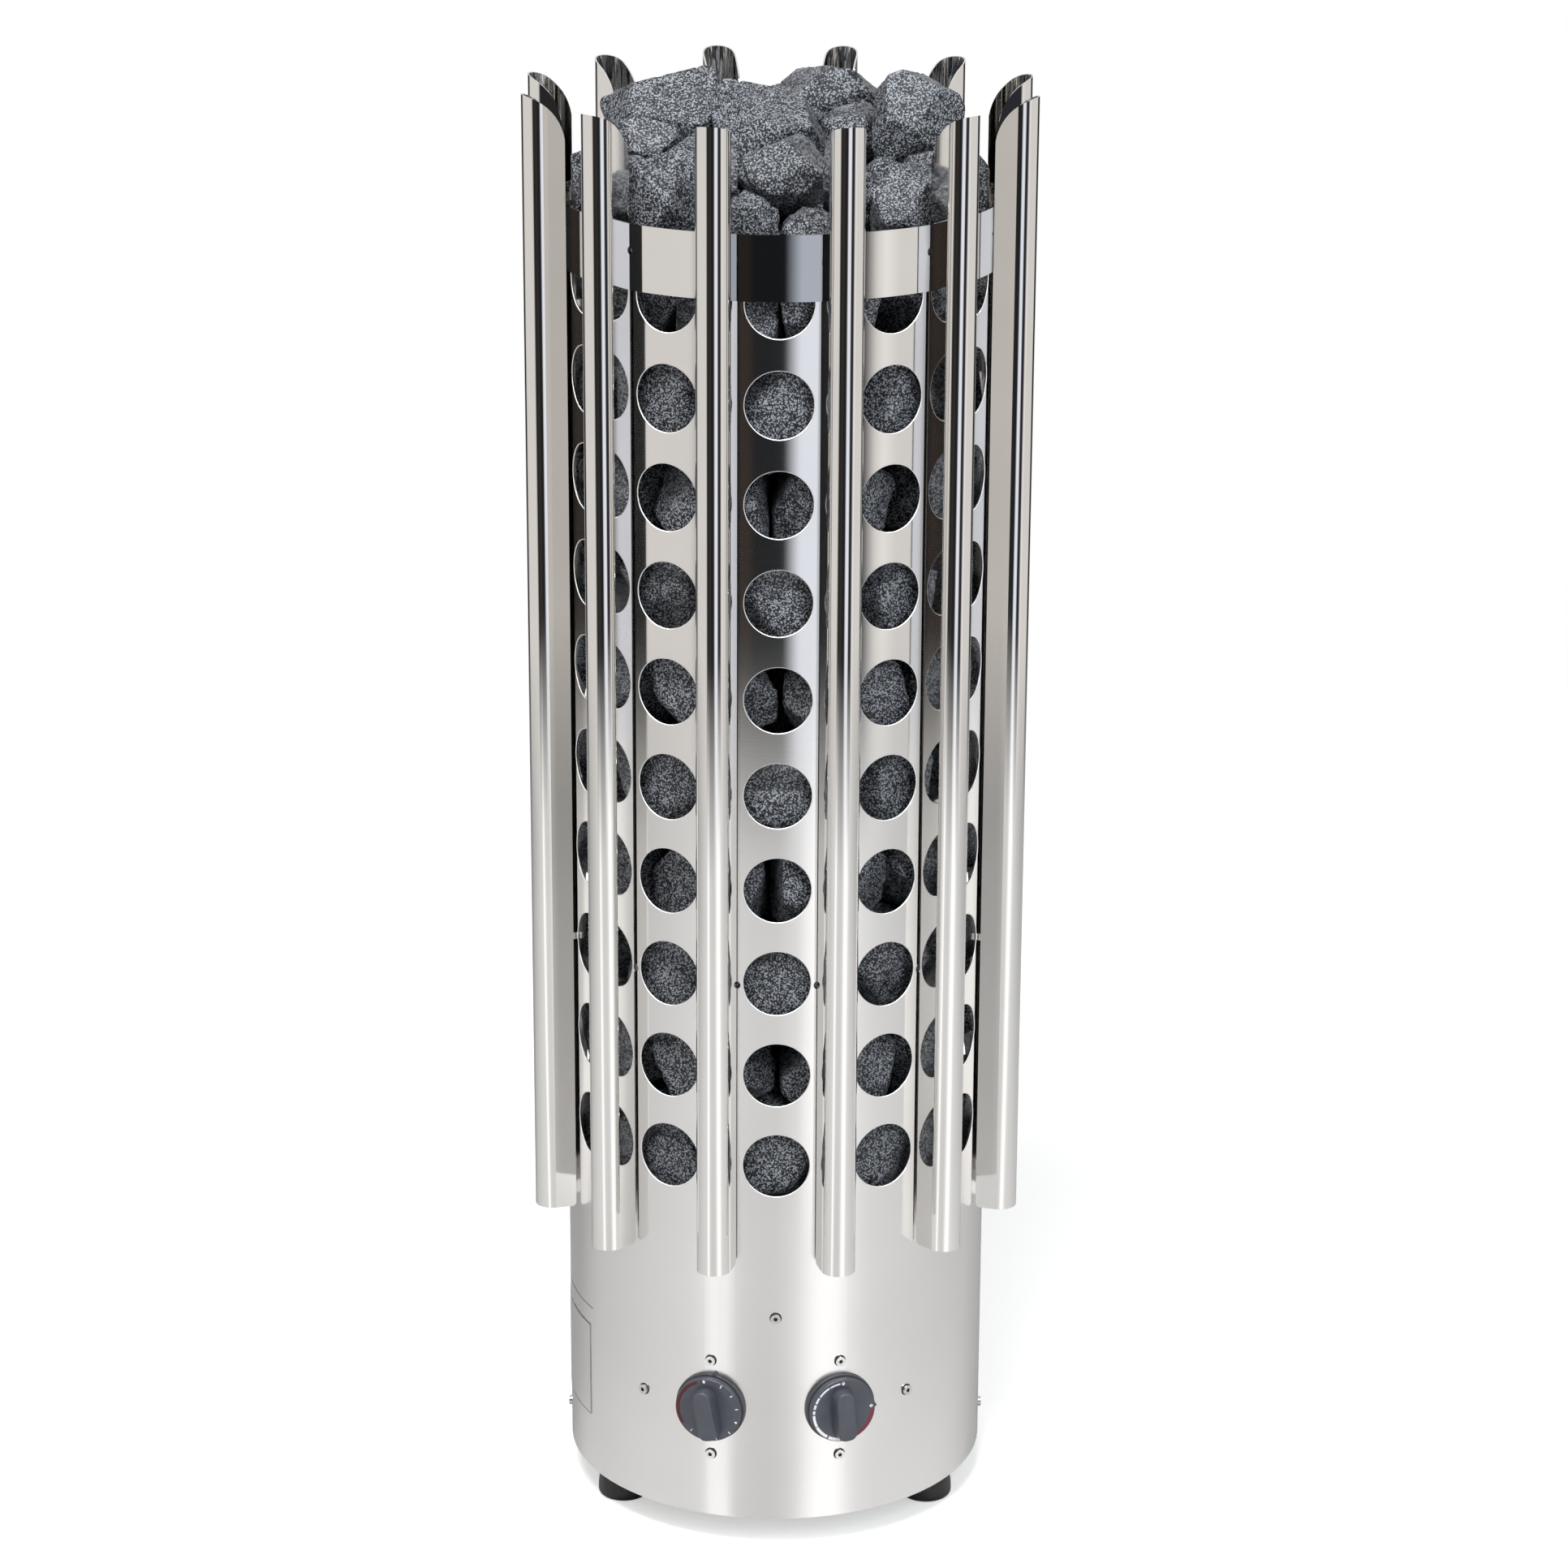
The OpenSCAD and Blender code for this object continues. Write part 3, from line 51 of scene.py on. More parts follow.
class Look:
    """A material made of nodes around one principled shader."""

    def __init__(self, name, **values):
        self.material = bpy.data.materials.new(name)
        self.material.use_nodes = True
        self.tree = self.material.node_tree
        self.tree.nodes.clear()
        self.shader = self.add("ShaderNodeBsdfPrincipled")
        out = self.add("ShaderNodeOutputMaterial")
        self.link(self.shader.outputs[0], out.inputs["Surface"])
        for key, value in values.items():
            self.set(key, value)

    def add(self, kind, **settings):
        node = self.tree.nodes.new(kind)
        for key, value in settings.items():
            setattr(node, key, value)
        return node

    def link(self, a, b):
        self.tree.links.new(a, b)

    def set(self, key, value):
        socket = self.shader.inputs[key.replace("_", " ").title().replace("Ior", "IOR")]
        if isinstance(value, bpy.types.NodeSocket):
            self.link(value, socket)
        else:
            colour = isinstance(value, tuple) and len(value) == 3
            socket.default_value = (*value, 1) if colour else value

    def where(self, scale=(1, 1, 1), turn=(0, 0, 0)):
        """Object coordinates in metres, stretched and turned."""
        coordinate = self.add("ShaderNodeTexCoord")
        mapping = self.add("ShaderNodeMapping")
        mapping.inputs["Scale"].default_value = scale
        mapping.inputs["Rotation"].default_value = turn
        self.link(coordinate.outputs["Object"], mapping.inputs["Vector"])
        return mapping.outputs[0]

    def noise(self, place, scale, detail=3, rough=0.55, distort=0.0):
        node = self.add("ShaderNodeTexNoise")
        node.inputs["Scale"].default_value = scale
        node.inputs["Detail"].default_value = detail
        node.inputs["Roughness"].default_value = rough
        node.inputs["Distortion"].default_value = distort
        self.link(place, node.inputs["Vector"])
        return node.outputs["Fac"] if "Fac" in node.outputs else node.outputs[0]

    def voronoi(self, place, scale, smooth):
        node = self.add("ShaderNodeTexVoronoi", feature="SMOOTH_F1")
        node.inputs["Scale"].default_value = scale
        node.inputs["Smoothness"].default_value = smooth
        self.link(place, node.inputs["Vector"])
        return node.outputs["Distance"]

    def ramp(self, value, *stops):
        """stops are (place, grey or colour)."""
        node = self.add("ShaderNodeValToRGB")
        band = node.color_ramp
        for i, (place, colour) in enumerate(stops):
            stop = band.elements[i] if i < 2 else band.elements.new(place)
            stop.position = place
            stop.color = (*colour, 1) if isinstance(colour, tuple) else (colour, colour, colour, 1)
        self.link(value, node.inputs["Fac"])
        return node.outputs["Color"]

    def mix(self, share, a, b):
        node = self.add("ShaderNodeMix", data_type="RGBA")
        for value, socket in ((share, node.inputs[0]), (a, node.inputs[6]), (b, node.inputs[7])):
            if isinstance(value, bpy.types.NodeSocket):
                self.link(value, socket)
            elif isinstance(value, tuple):
                socket.default_value = (*value, 1)
            else:
                socket.default_value = value
        return node.outputs[2]

    def math(self, how, a, b=0.0, c=0.0):
        node = self.add("ShaderNodeMath", operation=how)
        for i, value in enumerate((a, b, c)):
            if isinstance(value, bpy.types.NodeSocket):
                self.link(value, node.inputs[i])
            elif i < len(node.inputs):
                node.inputs[i].default_value = value
        return node.outputs[0]

    def span(self, value, low, high):
        """Maps 0..1 to low..high."""
        node = self.add("ShaderNodeMapRange")
        self.link(value, node.inputs["Value"])
        node.inputs["To Min"].default_value = low
        node.inputs["To Max"].default_value = high
        return node.outputs[0]

    def bump(self, height, strength, distance, under=None):
        node = self.add("ShaderNodeBump")
        node.inputs["Strength"].default_value = strength
        node.inputs["Distance"].default_value = distance
        self.link(height, node.inputs["Height"])
        if under is not None:
            self.link(under, node.inputs["Normal"])
        return node.outputs[0]


def steel(name, colour, low, high, grain, strength, satin=None):
    """Bright steel with faint polishing lines. grain is how far the lines are stretched.
    satin is (height, height, roughness): below the first height the finish is duller."""
    look = Look(name, metallic=1.0, base_color=colour)
    across, along = grain
    place = look.where((across, across, along))
    lines = look.noise(place, 1, 3, 0.6)
    cloud = look.noise(look.where(), 9, 2, 0.5)
    share = look.math("MULTIPLY_ADD", lines, 0.6, look.math("MULTIPLY", cloud, 0.4))
    rough = look.span(share, low, high)
    if satin:
        parts = look.add("ShaderNodeSeparateXYZ")
        look.link(look.where(), parts.inputs[0])
        down = look.add("ShaderNodeMapRange", interpolation_type="SMOOTHSTEP")
        look.link(parts.outputs["Z"], down.inputs["Value"])
        for key, value in zip(("From Min", "From Max", "To Min", "To Max"), (*satin[:2], satin[2], 0.0)):
            down.inputs[key].default_value = value
        rough = look.math("ADD", rough, down.outputs[0])
    look.set("roughness", rough)
    look.set("base_color", look.ramp(cloud, (0.3, tuple(0.955 * c for c in colour)), (0.7, colour)))
    look.set("normal", look.bump(lines, strength, 0.0001))
    return look.material


def plastic(name, colour, rough, grain=1400, depth=0.12):
    """Moulded plastic with a fine grain."""
    look = Look(name, roughness=rough)
    place = look.where()
    pores = look.voronoi(place, grain, 0.6)
    cloud = look.noise(place, 60, 3)
    look.set("base_color", look.ramp(cloud, (0.3, tuple(0.82 * c for c in colour)),
                                     (0.72, tuple(min(1.0, 1.12 * c) for c in colour))))
    look.set("roughness", look.span(cloud, rough - 0.05, rough + 0.07))
    look.set("normal", look.bump(pores, depth, 0.0002))
    return look.material


def rock_look():
    """Dark blue-grey stone with a dense pale speckle."""
    look = Look("olivine_stone", specular_ior_level=0.28)
    place = look.where()
    warp = look.noise(place, 120, 2, 0.5)
    grains = look.voronoi(place, 640, 0.15)
    fine = look.noise(place, 900, 2, 0.6, 0.4)
    broad = look.noise(place, 17, 3, 0.5)
    tint = look.noise(place, 9, 2, 0.5)
    mixed = look.math("MULTIPLY_ADD", grains, -0.62, look.math("MULTIPLY_ADD", fine, 1.15, 0.2))
    mixed = look.math("MULTIPLY_ADD", warp, 0.30, mixed)
    dark = look.mix(tint, (0.004, 0.005, 0.007), (0.008, 0.0075, 0.007))
    speckle = look.ramp(mixed, (0.50, 0.0), (0.60, 0.06), (0.68, 0.45), (0.76, 1.0))
    body = look.mix(broad, dark, (0.015, 0.017, 0.022))
    look.set("base_color", look.mix(speckle, body, (0.30, 0.32, 0.355)))
    look.set("roughness", look.span(fine, 0.30, 0.62))
    low = look.bump(broad, 0.25, 0.004)
    look.set("normal", look.bump(mixed, 0.5, 0.0007, low))
    return look.material


def rubber_look():
    """Black rubber with a slight gloss."""
    look = Look("foot_rubber", roughness=0.42)
    place = look.where()
    cloud = look.noise(place, 150, 4, 0.6)
    look.set("base_color", look.ramp(cloud, (0.3, (0.006, 0.006, 0.007)),
                                     (0.75, (0.018, 0.018, 0.02))))
    look.set("roughness", look.span(cloud, 0.3, 0.5))
    look.set("normal", look.bump(look.noise(place, 900, 2), 0.15, 0.0003))
    return look.material


def metal(name, colour, rough, scale=90, depth=0.25):
    """Duller or coloured metal, cloudy and finely pitted."""
    look = Look(name, metallic=1.0)
    place = look.where()
    cloud = look.noise(place, scale, 4, 0.6)
    look.set("base_color", look.ramp(cloud, (0.3, tuple(0.75 * c for c in colour)), (0.7, colour)))
    look.set("roughness", look.span(cloud, rough - 0.08, rough + 0.1))
    look.set("normal", look.bump(look.noise(place, scale * 12, 2), depth, 0.0002))
    return look.material


LOOKS = {
    "polished_steel": steel("polished_steel", (0.80, 0.785, 0.765), 0.035, 0.075, (900, 5), 0.05),
    "casing_steel": steel("casing_steel", (0.79, 0.775, 0.76), 0.07, 0.12, (14, 1300), 0.03,
                          (0.20, 0.34, 0.13)),
    "dark_mirror": steel("dark_mirror", (0.42, 0.43, 0.45), 0.04, 0.08, (300, 300), 0.03),
    "sheet_steel": metal("sheet_steel", (0.55, 0.55, 0.54), 0.38),
    "fastener_steel": metal("fastener_steel", (0.74, 0.73, 0.71), 0.17, 400, 0.1),
    "element_steel": metal("element_steel", (0.20, 0.17, 0.15), 0.42, 120),
    "stone": rock_look(),
    "rubber": rubber_look(),
    "knob_plastic": plastic("knob_plastic", (0.060, 0.064, 0.083), 0.40, 2600, 0.05),
    "collar_plastic": plastic("collar_plastic", (0.046, 0.048, 0.058), 0.45, 2600, 0.05),
    "black_plastic": plastic("black_plastic", (0.016, 0.016, 0.018), 0.45),
    "switch_body": plastic("switch_body", (0.55, 0.53, 0.48), 0.5),
    "red_plastic": plastic("red_plastic", (0.42, 0.02, 0.02), 0.4),
    "brass": metal("brass", (0.72, 0.52, 0.22), 0.3),
    "copper": metal("copper", (0.72, 0.36, 0.22), 0.3),
    "label": steel("label_foil", (0.74, 0.73, 0.71), 0.26, 0.36, (400, 400), 0.05),
}

slot_of = {}
for row in frame["record"]["subparts"]:
    slot_of[row["node"]] = row["material_slot"]
for name, obj in nodes.items():
    look = LOOKS[slot_of[name]]
    obj.data.materials.clear()
    obj.data.materials.append(look)

# ------------------------------------------------------------------- stones

WELD = 2e-6
WEAR, WEAR_SCALE = 0.0009, 26
CRACK_DEPTH, CRACK_SCALE, CRACK_W = 0.0012, 34, 0.10
PITTING, PIT_SCALE = 0.00025, 160
# The finer the voxel in millimetres, the nearer the stones are to the eye
ROCK_VOXELS = (("stones_lower", 3.8), ("stones_middle", 3.8), ("stones_upper", 3.8),
               ("stones_rim", 2.8), ("stones_heap", 2.3))


def islands(obj):
    """The separate solids of a CAD node, each as (points, faces)."""
    bm = bmesh.new()
    bm.from_mesh(obj.data)
    bmesh.ops.remove_doubles(bm, verts=bm.verts, dist=WELD)
    bm.verts.ensure_lookup_table()
    seen, found = set(), []
    for start in bm.verts:
        if start.index in seen:
            continue
        seen.add(start.index)
        group, todo = [], [start]
        while todo:
            v = todo.pop()
            group.append(v)
            for edge in v.link_edges:
                other = edge.other_vert(v)
                if other.index not in seen:
                    seen.add(other.index)
                    todo.append(other)
        number = {v.index: i for i, v in enumerate(group)}
        faces = {f for v in group for f in v.link_faces}
        faces = sorted(faces, key=lambda f: f.index)
        found.append(([tuple(v.co) for v in group],
                      [[number[v.index] for v in f.verts] for f in faces]))
    bm.free()
    return found


def weathered(points, faces, voxel, key):
    """One rock: remeshed, its edges worn round, its faces uneven."""
    mesh = bpy.data.meshes.new("rock")
    mesh.from_pydata(points, [], faces)
    obj = bpy.data.objects.new("rock", mesh)
    bpy.context.scene.collection.objects.link(obj)
    remesh = obj.modifiers.new("remesh", "REMESH")
    remesh.mode = "VOXEL"
    remesh.voxel_size = voxel
    smooth = obj.modifiers.new("smooth", "SMOOTH")
    smooth.factor = 0.5
    smooth.iterations = 1
    made = bpy.data.meshes.new_from_object(obj.evaluated_get(bpy.context.evaluated_depsgraph_get()))
    co = np.empty(len(made.vertices) * 3)
    made.vertices.foreach_get("co", co)
    co = co.reshape(-1, 3)
    normal = np.empty(len(made.vertices) * 3)
    made.vertex_normals.foreach_get("vector", normal)
    normal = normal.reshape(-1, 3)
    shift = Vector((key * 1.7, key * 0.9, key * 2.3))
    depth = np.empty(len(co))
    for i, p in enumerate(co):
        v = Vector(p)
        broad = noise.noise(v * WEAR_SCALE + shift)
        ridge = abs(noise.noise(v * CRACK_SCALE - shift))
        small = noise.noise(v * PIT_SCALE + shift)
        crack = max(0.0, CRACK_W - ridge) / CRACK_W
        depth[i] = WEAR * (broad + 1) + CRACK_DEPTH * crack + PITTING * (small + 1)
    co -= normal * depth[:, None]
    polygons = [list(p.vertices) for p in made.polygons]
    bpy.data.objects.remove(obj)
    bpy.data.meshes.remove(mesh)
    bpy.data.meshes.remove(made)
    return co, polygons


def rocks(node, voxel):
    """All the rocks of one CAD node, in its place."""
    points, faces, start = [], [], 0
    for key, (own_points, own_faces) in enumerate(islands(nodes[node])):
        co, polygons = weathered(own_points, own_faces, voxel, key + len(node))
        points.append(co)
        faces += [[start + i for i in p] for p in polygons]
        start += len(co)
    mesh = bpy.data.meshes.new("rocks_" + node)
    mesh.from_pydata(np.concatenate(points).tolist(), [], faces)
    mesh.polygons.foreach_set("use_smooth", [True] * len(faces))
    mesh.materials.append(LOOKS["stone"])
    obj = bpy.data.objects.new("rocks_" + node, mesh)
    bpy.context.scene.collection.objects.link(obj)
    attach(obj, "heater")
    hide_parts(node)


coarse = 1.0
for name, voxel in ROCK_VOXELS:
    rocks(name, voxel * MM * coarse)

# --------------------------------------------------------- knobs and collars


def placed(degrees, r, z):
    """A frame on the casing: X to the right, Y up, Z outwards, in millimetres."""
    a = math.radians(degrees)
    return Matrix.Scale(MM, 4) @ Matrix(((math.cos(a), 0, math.sin(a), r * math.sin(a)),
                                         (math.sin(a), 0, -math.cos(a), -r * math.cos(a)),
                                         (0, 1, 0, z), (0, 0, 0, 1)))


def grid(bm, rows, closed=True):
    """Joins rows of points, each as long as the last, with quads; returns the rings."""
    rings = [[bm.verts.new(p) for p in row] for row in rows]
    count = len(rings[0])
    for a, b in zip(rings, rings[1:]):
        for i in range(count if closed else count - 1):
            j = (i + 1) % count
            bm.faces.new((a[i], a[j], b[j], b[i]))
    return rings


def piece(name, bm, body, look, soft=True):
    """Makes an object of a mesh, which moves with a body and has a slot's finish."""
    bmesh.ops.recalc_face_normals(bm, faces=bm.faces)
    mesh = bpy.data.meshes.new(name)
    bm.to_mesh(mesh)
    bm.free()
    mesh.polygons.foreach_set("use_smooth", [soft] * len(mesh.polygons))
    mesh.materials.append(look)
    obj = bpy.data.objects.new(name, mesh)
    bpy.context.scene.collection.objects.link(obj)
    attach(obj, body)
    return obj


CASING_R = 160.0
KNOB_Z = 114.5
KNOB_TURN = 17.6
KNOB_BACK = 3.0
FACE = 5.5
RIM = 25.5
EDGE = 1.2
DISH_R = 20.0
DISH_DEPTH = 1.5
BORE_R = 3.05
BAR_TOP = 15.5
BAR_HALF = 8.5
BAR_TAPER = 1.75
BAR_UP = 18.5
BAR_DOWN = 21.5
BAR_EDGE = 1.3
DIAL_SIDES = 128
PRINT_LIFT = 0.05


def face_height(r):
    """Height of the dial's face above its back at a distance from its centre."""
    if r > RIM - EDGE:
        return FACE - EDGE + math.sqrt(max(0.0, EDGE ** 2 - (r - RIM + EDGE) ** 2))
    if r > DISH_R:
        return FACE
    ball = (DISH_R ** 2 + DISH_DEPTH ** 2) / (2 * DISH_DEPTH)
    return FACE - DISH_DEPTH + ball - math.sqrt(ball ** 2 - r ** 2)


def dial_profile():
    """(radius, height) from the bore's foot out, up the side and in over the face."""
    rows = [(BORE_R, 0), (RIM - 0.9, 0), (RIM - 0.3, 0.15), (RIM, 0.6), (RIM, 1.5), (RIM - 0.22, 1.6),
            (RIM - 0.22, 1.95), (RIM, 2.05), (RIM, 3.2)]
    for k in range(7):
        a = math.radians(15 * k)
        rows.append((RIM - EDGE + EDGE * math.cos(a), FACE - EDGE + EDGE * math.sin(a)))
    rows += [(r, face_height(r)) for r in (RIM - EDGE - 0.1, 22.5, DISH_R + 0.6)]
    rows += [(r, face_height(r) - 0.02) for r in (DISH_R + 0.2, DISH_R - 0.3)]
    rows += [(r, face_height(r)) for r in (18.5, 16, 13, 10, 7, 4.5, BORE_R)]
    return rows


def bar_outline(half, top, bottom, count=24):
    """A bar's outline: round at its upper end, squarer at its lower end."""
    points = []
    for end, reach, power in ((1, top, 2.15), (-1, bottom, 2.9)):
        depth = half * 1.05
        for k in range(count + 1):
            a = math.pi * k / count
            x = math.copysign(abs(math.cos(a)) ** (2 / power), math.cos(a)) * half
            y = math.sin(a) ** (2 / power) * depth + reach - depth
            points.append((x * end, y * end))
    return points


def bar_rows():
    """Outlines of the grip bar from inside the dial up to its crowned top."""
    rows = []

    def level(h, grow):
        lean = max(0.0, h - FACE) / (BAR_TOP - FACE)
        half = BAR_HALF - BAR_TAPER * lean + grow
        inward = min(0.0, grow)
        outline = bar_outline(half, BAR_UP - 0.5 * lean + inward, BAR_DOWN - 0.4 * lean + inward)
        rows.append([(x, y, h) for x, y in outline])

    for h, grow in ((2.5, 0.0), (4.6, 0.0), (5.2, -0.02), (6.2, 0.0), (8.5, 0.0), (11.5, 0.0),
                    (13.6, 0.0)):
        level(h, grow)
    for k in range(1, 7):
        a = math.radians(15 * k)
        level(BAR_TOP - BAR_EDGE + BAR_EDGE * math.sin(a), -BAR_EDGE * (1 - math.cos(a)))
    level(BAR_TOP, -BAR_EDGE - 0.15)
    return rows


def knob(name, body, degrees, lean, inks):
    """A dial with its grip bar, leaning a little, and the marks printed on its face."""
    frame_here = placed(degrees, CASING_R + KNOB_BACK, KNOB_Z)
    bm = bmesh.new()
    turns = [2 * math.pi * i / DIAL_SIDES for i in range(DIAL_SIDES)]
    rows = [[(r * math.sin(a), r * math.cos(a), h) for a in turns] for r, h in dial_profile()]
    rings = grid(bm, rows)
    for i in range(DIAL_SIDES):
        j = (i + 1) % DIAL_SIDES
        bm.faces.new((rings[-1][i], rings[-1][j], rings[0][j], rings[0][i]))
    turn = Matrix.Rotation(math.radians(lean), 4, "Z")
    rings = grid(bm, [[tuple(turn @ Vector(p)) for p in row] for row in bar_rows()])
    bm.faces.new(rings[0])
    bm.faces.new(rings[-1])
    bmesh.ops.remove_doubles(bm, verts=bm.verts, dist=0.001)
    bm.transform(frame_here)
    obj = piece(name, bm, body, LOOKS["knob_plastic"])
    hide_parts(body.replace("_dial", "_knob"))
    for part, look, shapes in inks:
        bm = bmesh.new()
        for shape in shapes:
            printed(bm, *shape)
        bm.transform(frame_here)
        piece(name + "_" + part, bm, body, look)


def printed(bm, start, end, inner, outer, round_ends=False):
    """A thin printed mark on the dial, between two angles clockwise from the top and two radii."""
    steps = max(3, int(abs(end - start) / 2.5))
    rows = []
    for i in range(steps + 1):
        a = math.radians(start + (end - start) * i / steps)
        low, high = inner, outer
        if round_ends:
            share = math.sqrt(max(0.04, 1 - (2 * i / steps - 1) ** 2))
            middle = (inner + outer) / 2
            reach = (outer - inner) / 2 * share
            low, high = middle - reach, middle + reach
        row = []
        for k in range(5):
            r = low + (high - low) * k / 4
            row.append((r * math.sin(a), r * math.cos(a), face_height(r) + PRINT_LIFT))
        rows.append(row)
    grid(bm, rows, closed=False)


def ink(name, colour):
    """Printed ink, slightly uneven."""
    look = Look(name, roughness=0.45)
    cloud = look.noise(look.where(), 900, 3, 0.6)
    look.set("base_color", look.ramp(cloud, (0.3, tuple(0.8 * c for c in colour)), (0.7, colour)))
    look.set("normal", look.bump(cloud, 0.1, 0.0001))
    return look.material


WHITE_INK = ink("ink_white", (0.86, 0.87, 0.90))
DEEP_RED = ink("ink_deep_red", (0.075, 0.002, 0.006))
RED = ink("ink_red", (0.20, 0.014, 0.03))
# Dark ink for print, also used as painted shade in the screw sockets and round the screw heads
DARK_INK_AND_SHADE = ink("ink_dark_and_shade", (0.022, 0.022, 0.026))


def stroke(degrees, r0, r1, width):
    """A short radial tick."""
    half = math.degrees(width / 2 / ((r0 + r1) / 2))
    return (degrees - half, degrees + half, r0, r1)


def blob(degrees, r, across, along):
    """A round dot."""
    half = math.degrees(across / r)
    return (degrees - half, degrees + half, r - along, r + along, True)


knob("timer_dial_face", "timer_dial", -KNOB_TURN, 10, [
    ("scale", WHITE_INK, [
        blob(-7, 23.2, 1.1, 1.4), stroke(27, 22.0, 24.8, 0.75), stroke(53, 22.3, 24.6, 0.75),
        stroke(80, 22.3, 24.6, 0.75), blob(107, 23.5, 0.9, 1.0), stroke(133, 22.4, 24.7, 0.7),
        stroke(162.5, 22.4, 24.8, 0.7), stroke(-145, 21.0, 23.2, 0.7)]),
    ("arc", DEEP_RED, [(-21, -72, 21.9, 24.4), (-72, -123.5, 21.9, 24.4)]),
])
dashes = []
for start, end in ((-6, -27), (-29, -52.6), (-55.4, -68), (-70.6, -79.6), (-83, -90),
                   (-92.6, -116.3), (-117.7, -147.5), (-150.8, -175)):
    along = -(start + end) / 2 / 175
    middle, wide = 22.5 + 0.95 * along, 1.15 + 1.35 * along
    dashes.append((start, end, middle - wide / 2, middle + wide / 2))
knob("thermostat_dial_face", "thermostat_dial", KNOB_TURN, 4, [
    ("scale", WHITE_INK, dashes + [blob(0, 22.3, 1.25, 1.5), blob(87, 22.2, 1.3, 1.4)]),
    ("centre", DARK_INK_AND_SHADE, [blob(0, 22.3, 0.45, 0.6), blob(87, 22.2, 0.5, 0.5)]),
    ("arc", RED, [(94, 151, 21.9, 24.2)]),
])


COLLAR_T = 2.6
COLLAR_R = 27.0
COLLAR_BORE = 5.2
COLLAR_EDGE = 0.9
POINTER_BASE = 26.0
POINTER_SLOPE = 0.8889
POINTER_TIP = 29.0
CASING_SKIN = 0.12


def collar(name, degrees, pointer):
    """A fixed ring on the casing's curve with a worn outer edge and a small pointer."""
    spots = sorted({round(a, 3) for a in
                    [3 * k for k in range(120)] + [(pointer + 0.5 * k) % 360 for k in range(-24, 25)]})

    def rim(a):
        off = abs((a - pointer + 180) % 360 - 180)
        t = 0.0
        if off < 40:
            off = math.radians(off)
            t = POINTER_BASE / (math.sin(off) + POINTER_SLOPE * math.cos(off))
        return max(COLLAR_R, min(t, POINTER_TIP))

    def surface(x):
        return math.sqrt((CASING_R + CASING_SKIN) ** 2 - x * x) - CASING_R

    def row(radius, height):
        points = []
        for a in spots:
            r = radius(a)
            x, y = r * math.sin(math.radians(a)), r * math.cos(math.radians(a))
            points.append((x, y, surface(x) if height is None else height))
        return points

    rows = [row(lambda a: COLLAR_BORE, COLLAR_T), row(lambda a: 24, COLLAR_T)]
    for k in range(7):
        t = math.radians(15 * k)
        rows.append(row(lambda a: rim(a) - COLLAR_EDGE + COLLAR_EDGE * math.sin(t),
                        COLLAR_T - COLLAR_EDGE + COLLAR_EDGE * math.cos(t)))
    rows += [row(rim, None), row(lambda a: rim(a) - 0.6, None), row(lambda a: 15, None),
             row(lambda a: COLLAR_BORE, None)]
    rows.append(rows[0])
    bm = bmesh.new()
    grid(bm, rows)
    bmesh.ops.remove_doubles(bm, verts=bm.verts, dist=0.0005)
    bm.transform(placed(degrees, CASING_R, KNOB_Z))
    obj = piece(name, bm, "heater", LOOKS["collar_plastic"])
    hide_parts(name.replace("_ring", "_collar"))


collar("timer_ring", -KNOB_TURN, 7.5)
collar("thermostat_ring", KNOB_TURN, 94)


def ruled(bm, start, end, low, high, r):
    """A thin line drawn on an upright cylinder, from angle to angle and height to height."""
    steps = max(1, int(abs(end - start) / 2))
    rows = []
    for i in range(steps + 1):
        a = math.radians(start + (end - start) * i / steps)
        rows.append([(r * math.sin(a), -r * math.cos(a), z) for z in (low, high)])
    grid(bm, rows, closed=False)


# The label's border and the seam line above it: (degrees, degrees, height, height, radius)
LABEL_LINES = (
    (-62.25, -92, 144.3, 144.9, 160.43), (-62.25, -92, 69.1, 69.7, 160.43),
    (-62.25, -62.5, 69.1, 144.9, 160.43), (-60.6, -92, 159.3, 159.9, 160.04))
bm = bmesh.new()
for line in LABEL_LINES:
    ruled(bm, *line)
bmesh.ops.scale(bm, vec=(MM, MM, MM), verts=bm.verts)
piece("label_border", bm, "heater", DARK_INK_AND_SHADE)

# ------------------------------------------------------------ socket screws

SOCKET_R = 2.05
SOCKET_LOW = 160.8
SOCKET_HIGH = 162.2
HEAD_R = 3.8
# Width and lift of the painted shadow ring round each screw head
SHADOW_RING_WIDTH = 0.75
SHADOW_RING_LIFT = 0.06


def casing_ring(bm, degrees, z, profile, sides, material=0):
    """A thin ring that follows the casing's curve. profile holds (radius, height over it)."""
    rows = []
    for r, lift in profile:
        row = []
        for k in range(sides):
            x, y = r * math.sin(2 * math.pi * k / sides), r * math.cos(2 * math.pi * k / sides)
            row.append((x, y, math.sqrt(CASING_R ** 2 - x * x) - CASING_R + lift))
        rows.append(row)
    ring = bmesh.new()
    grid(ring, rows)
    ring.transform(placed(degrees, CASING_R, z))
    own = {v: bm.verts.new(v.co) for v in ring.verts}
    for face in ring.faces:
        bm.faces.new([own[v] for v in face.verts]).material_index = material
    ring.free()


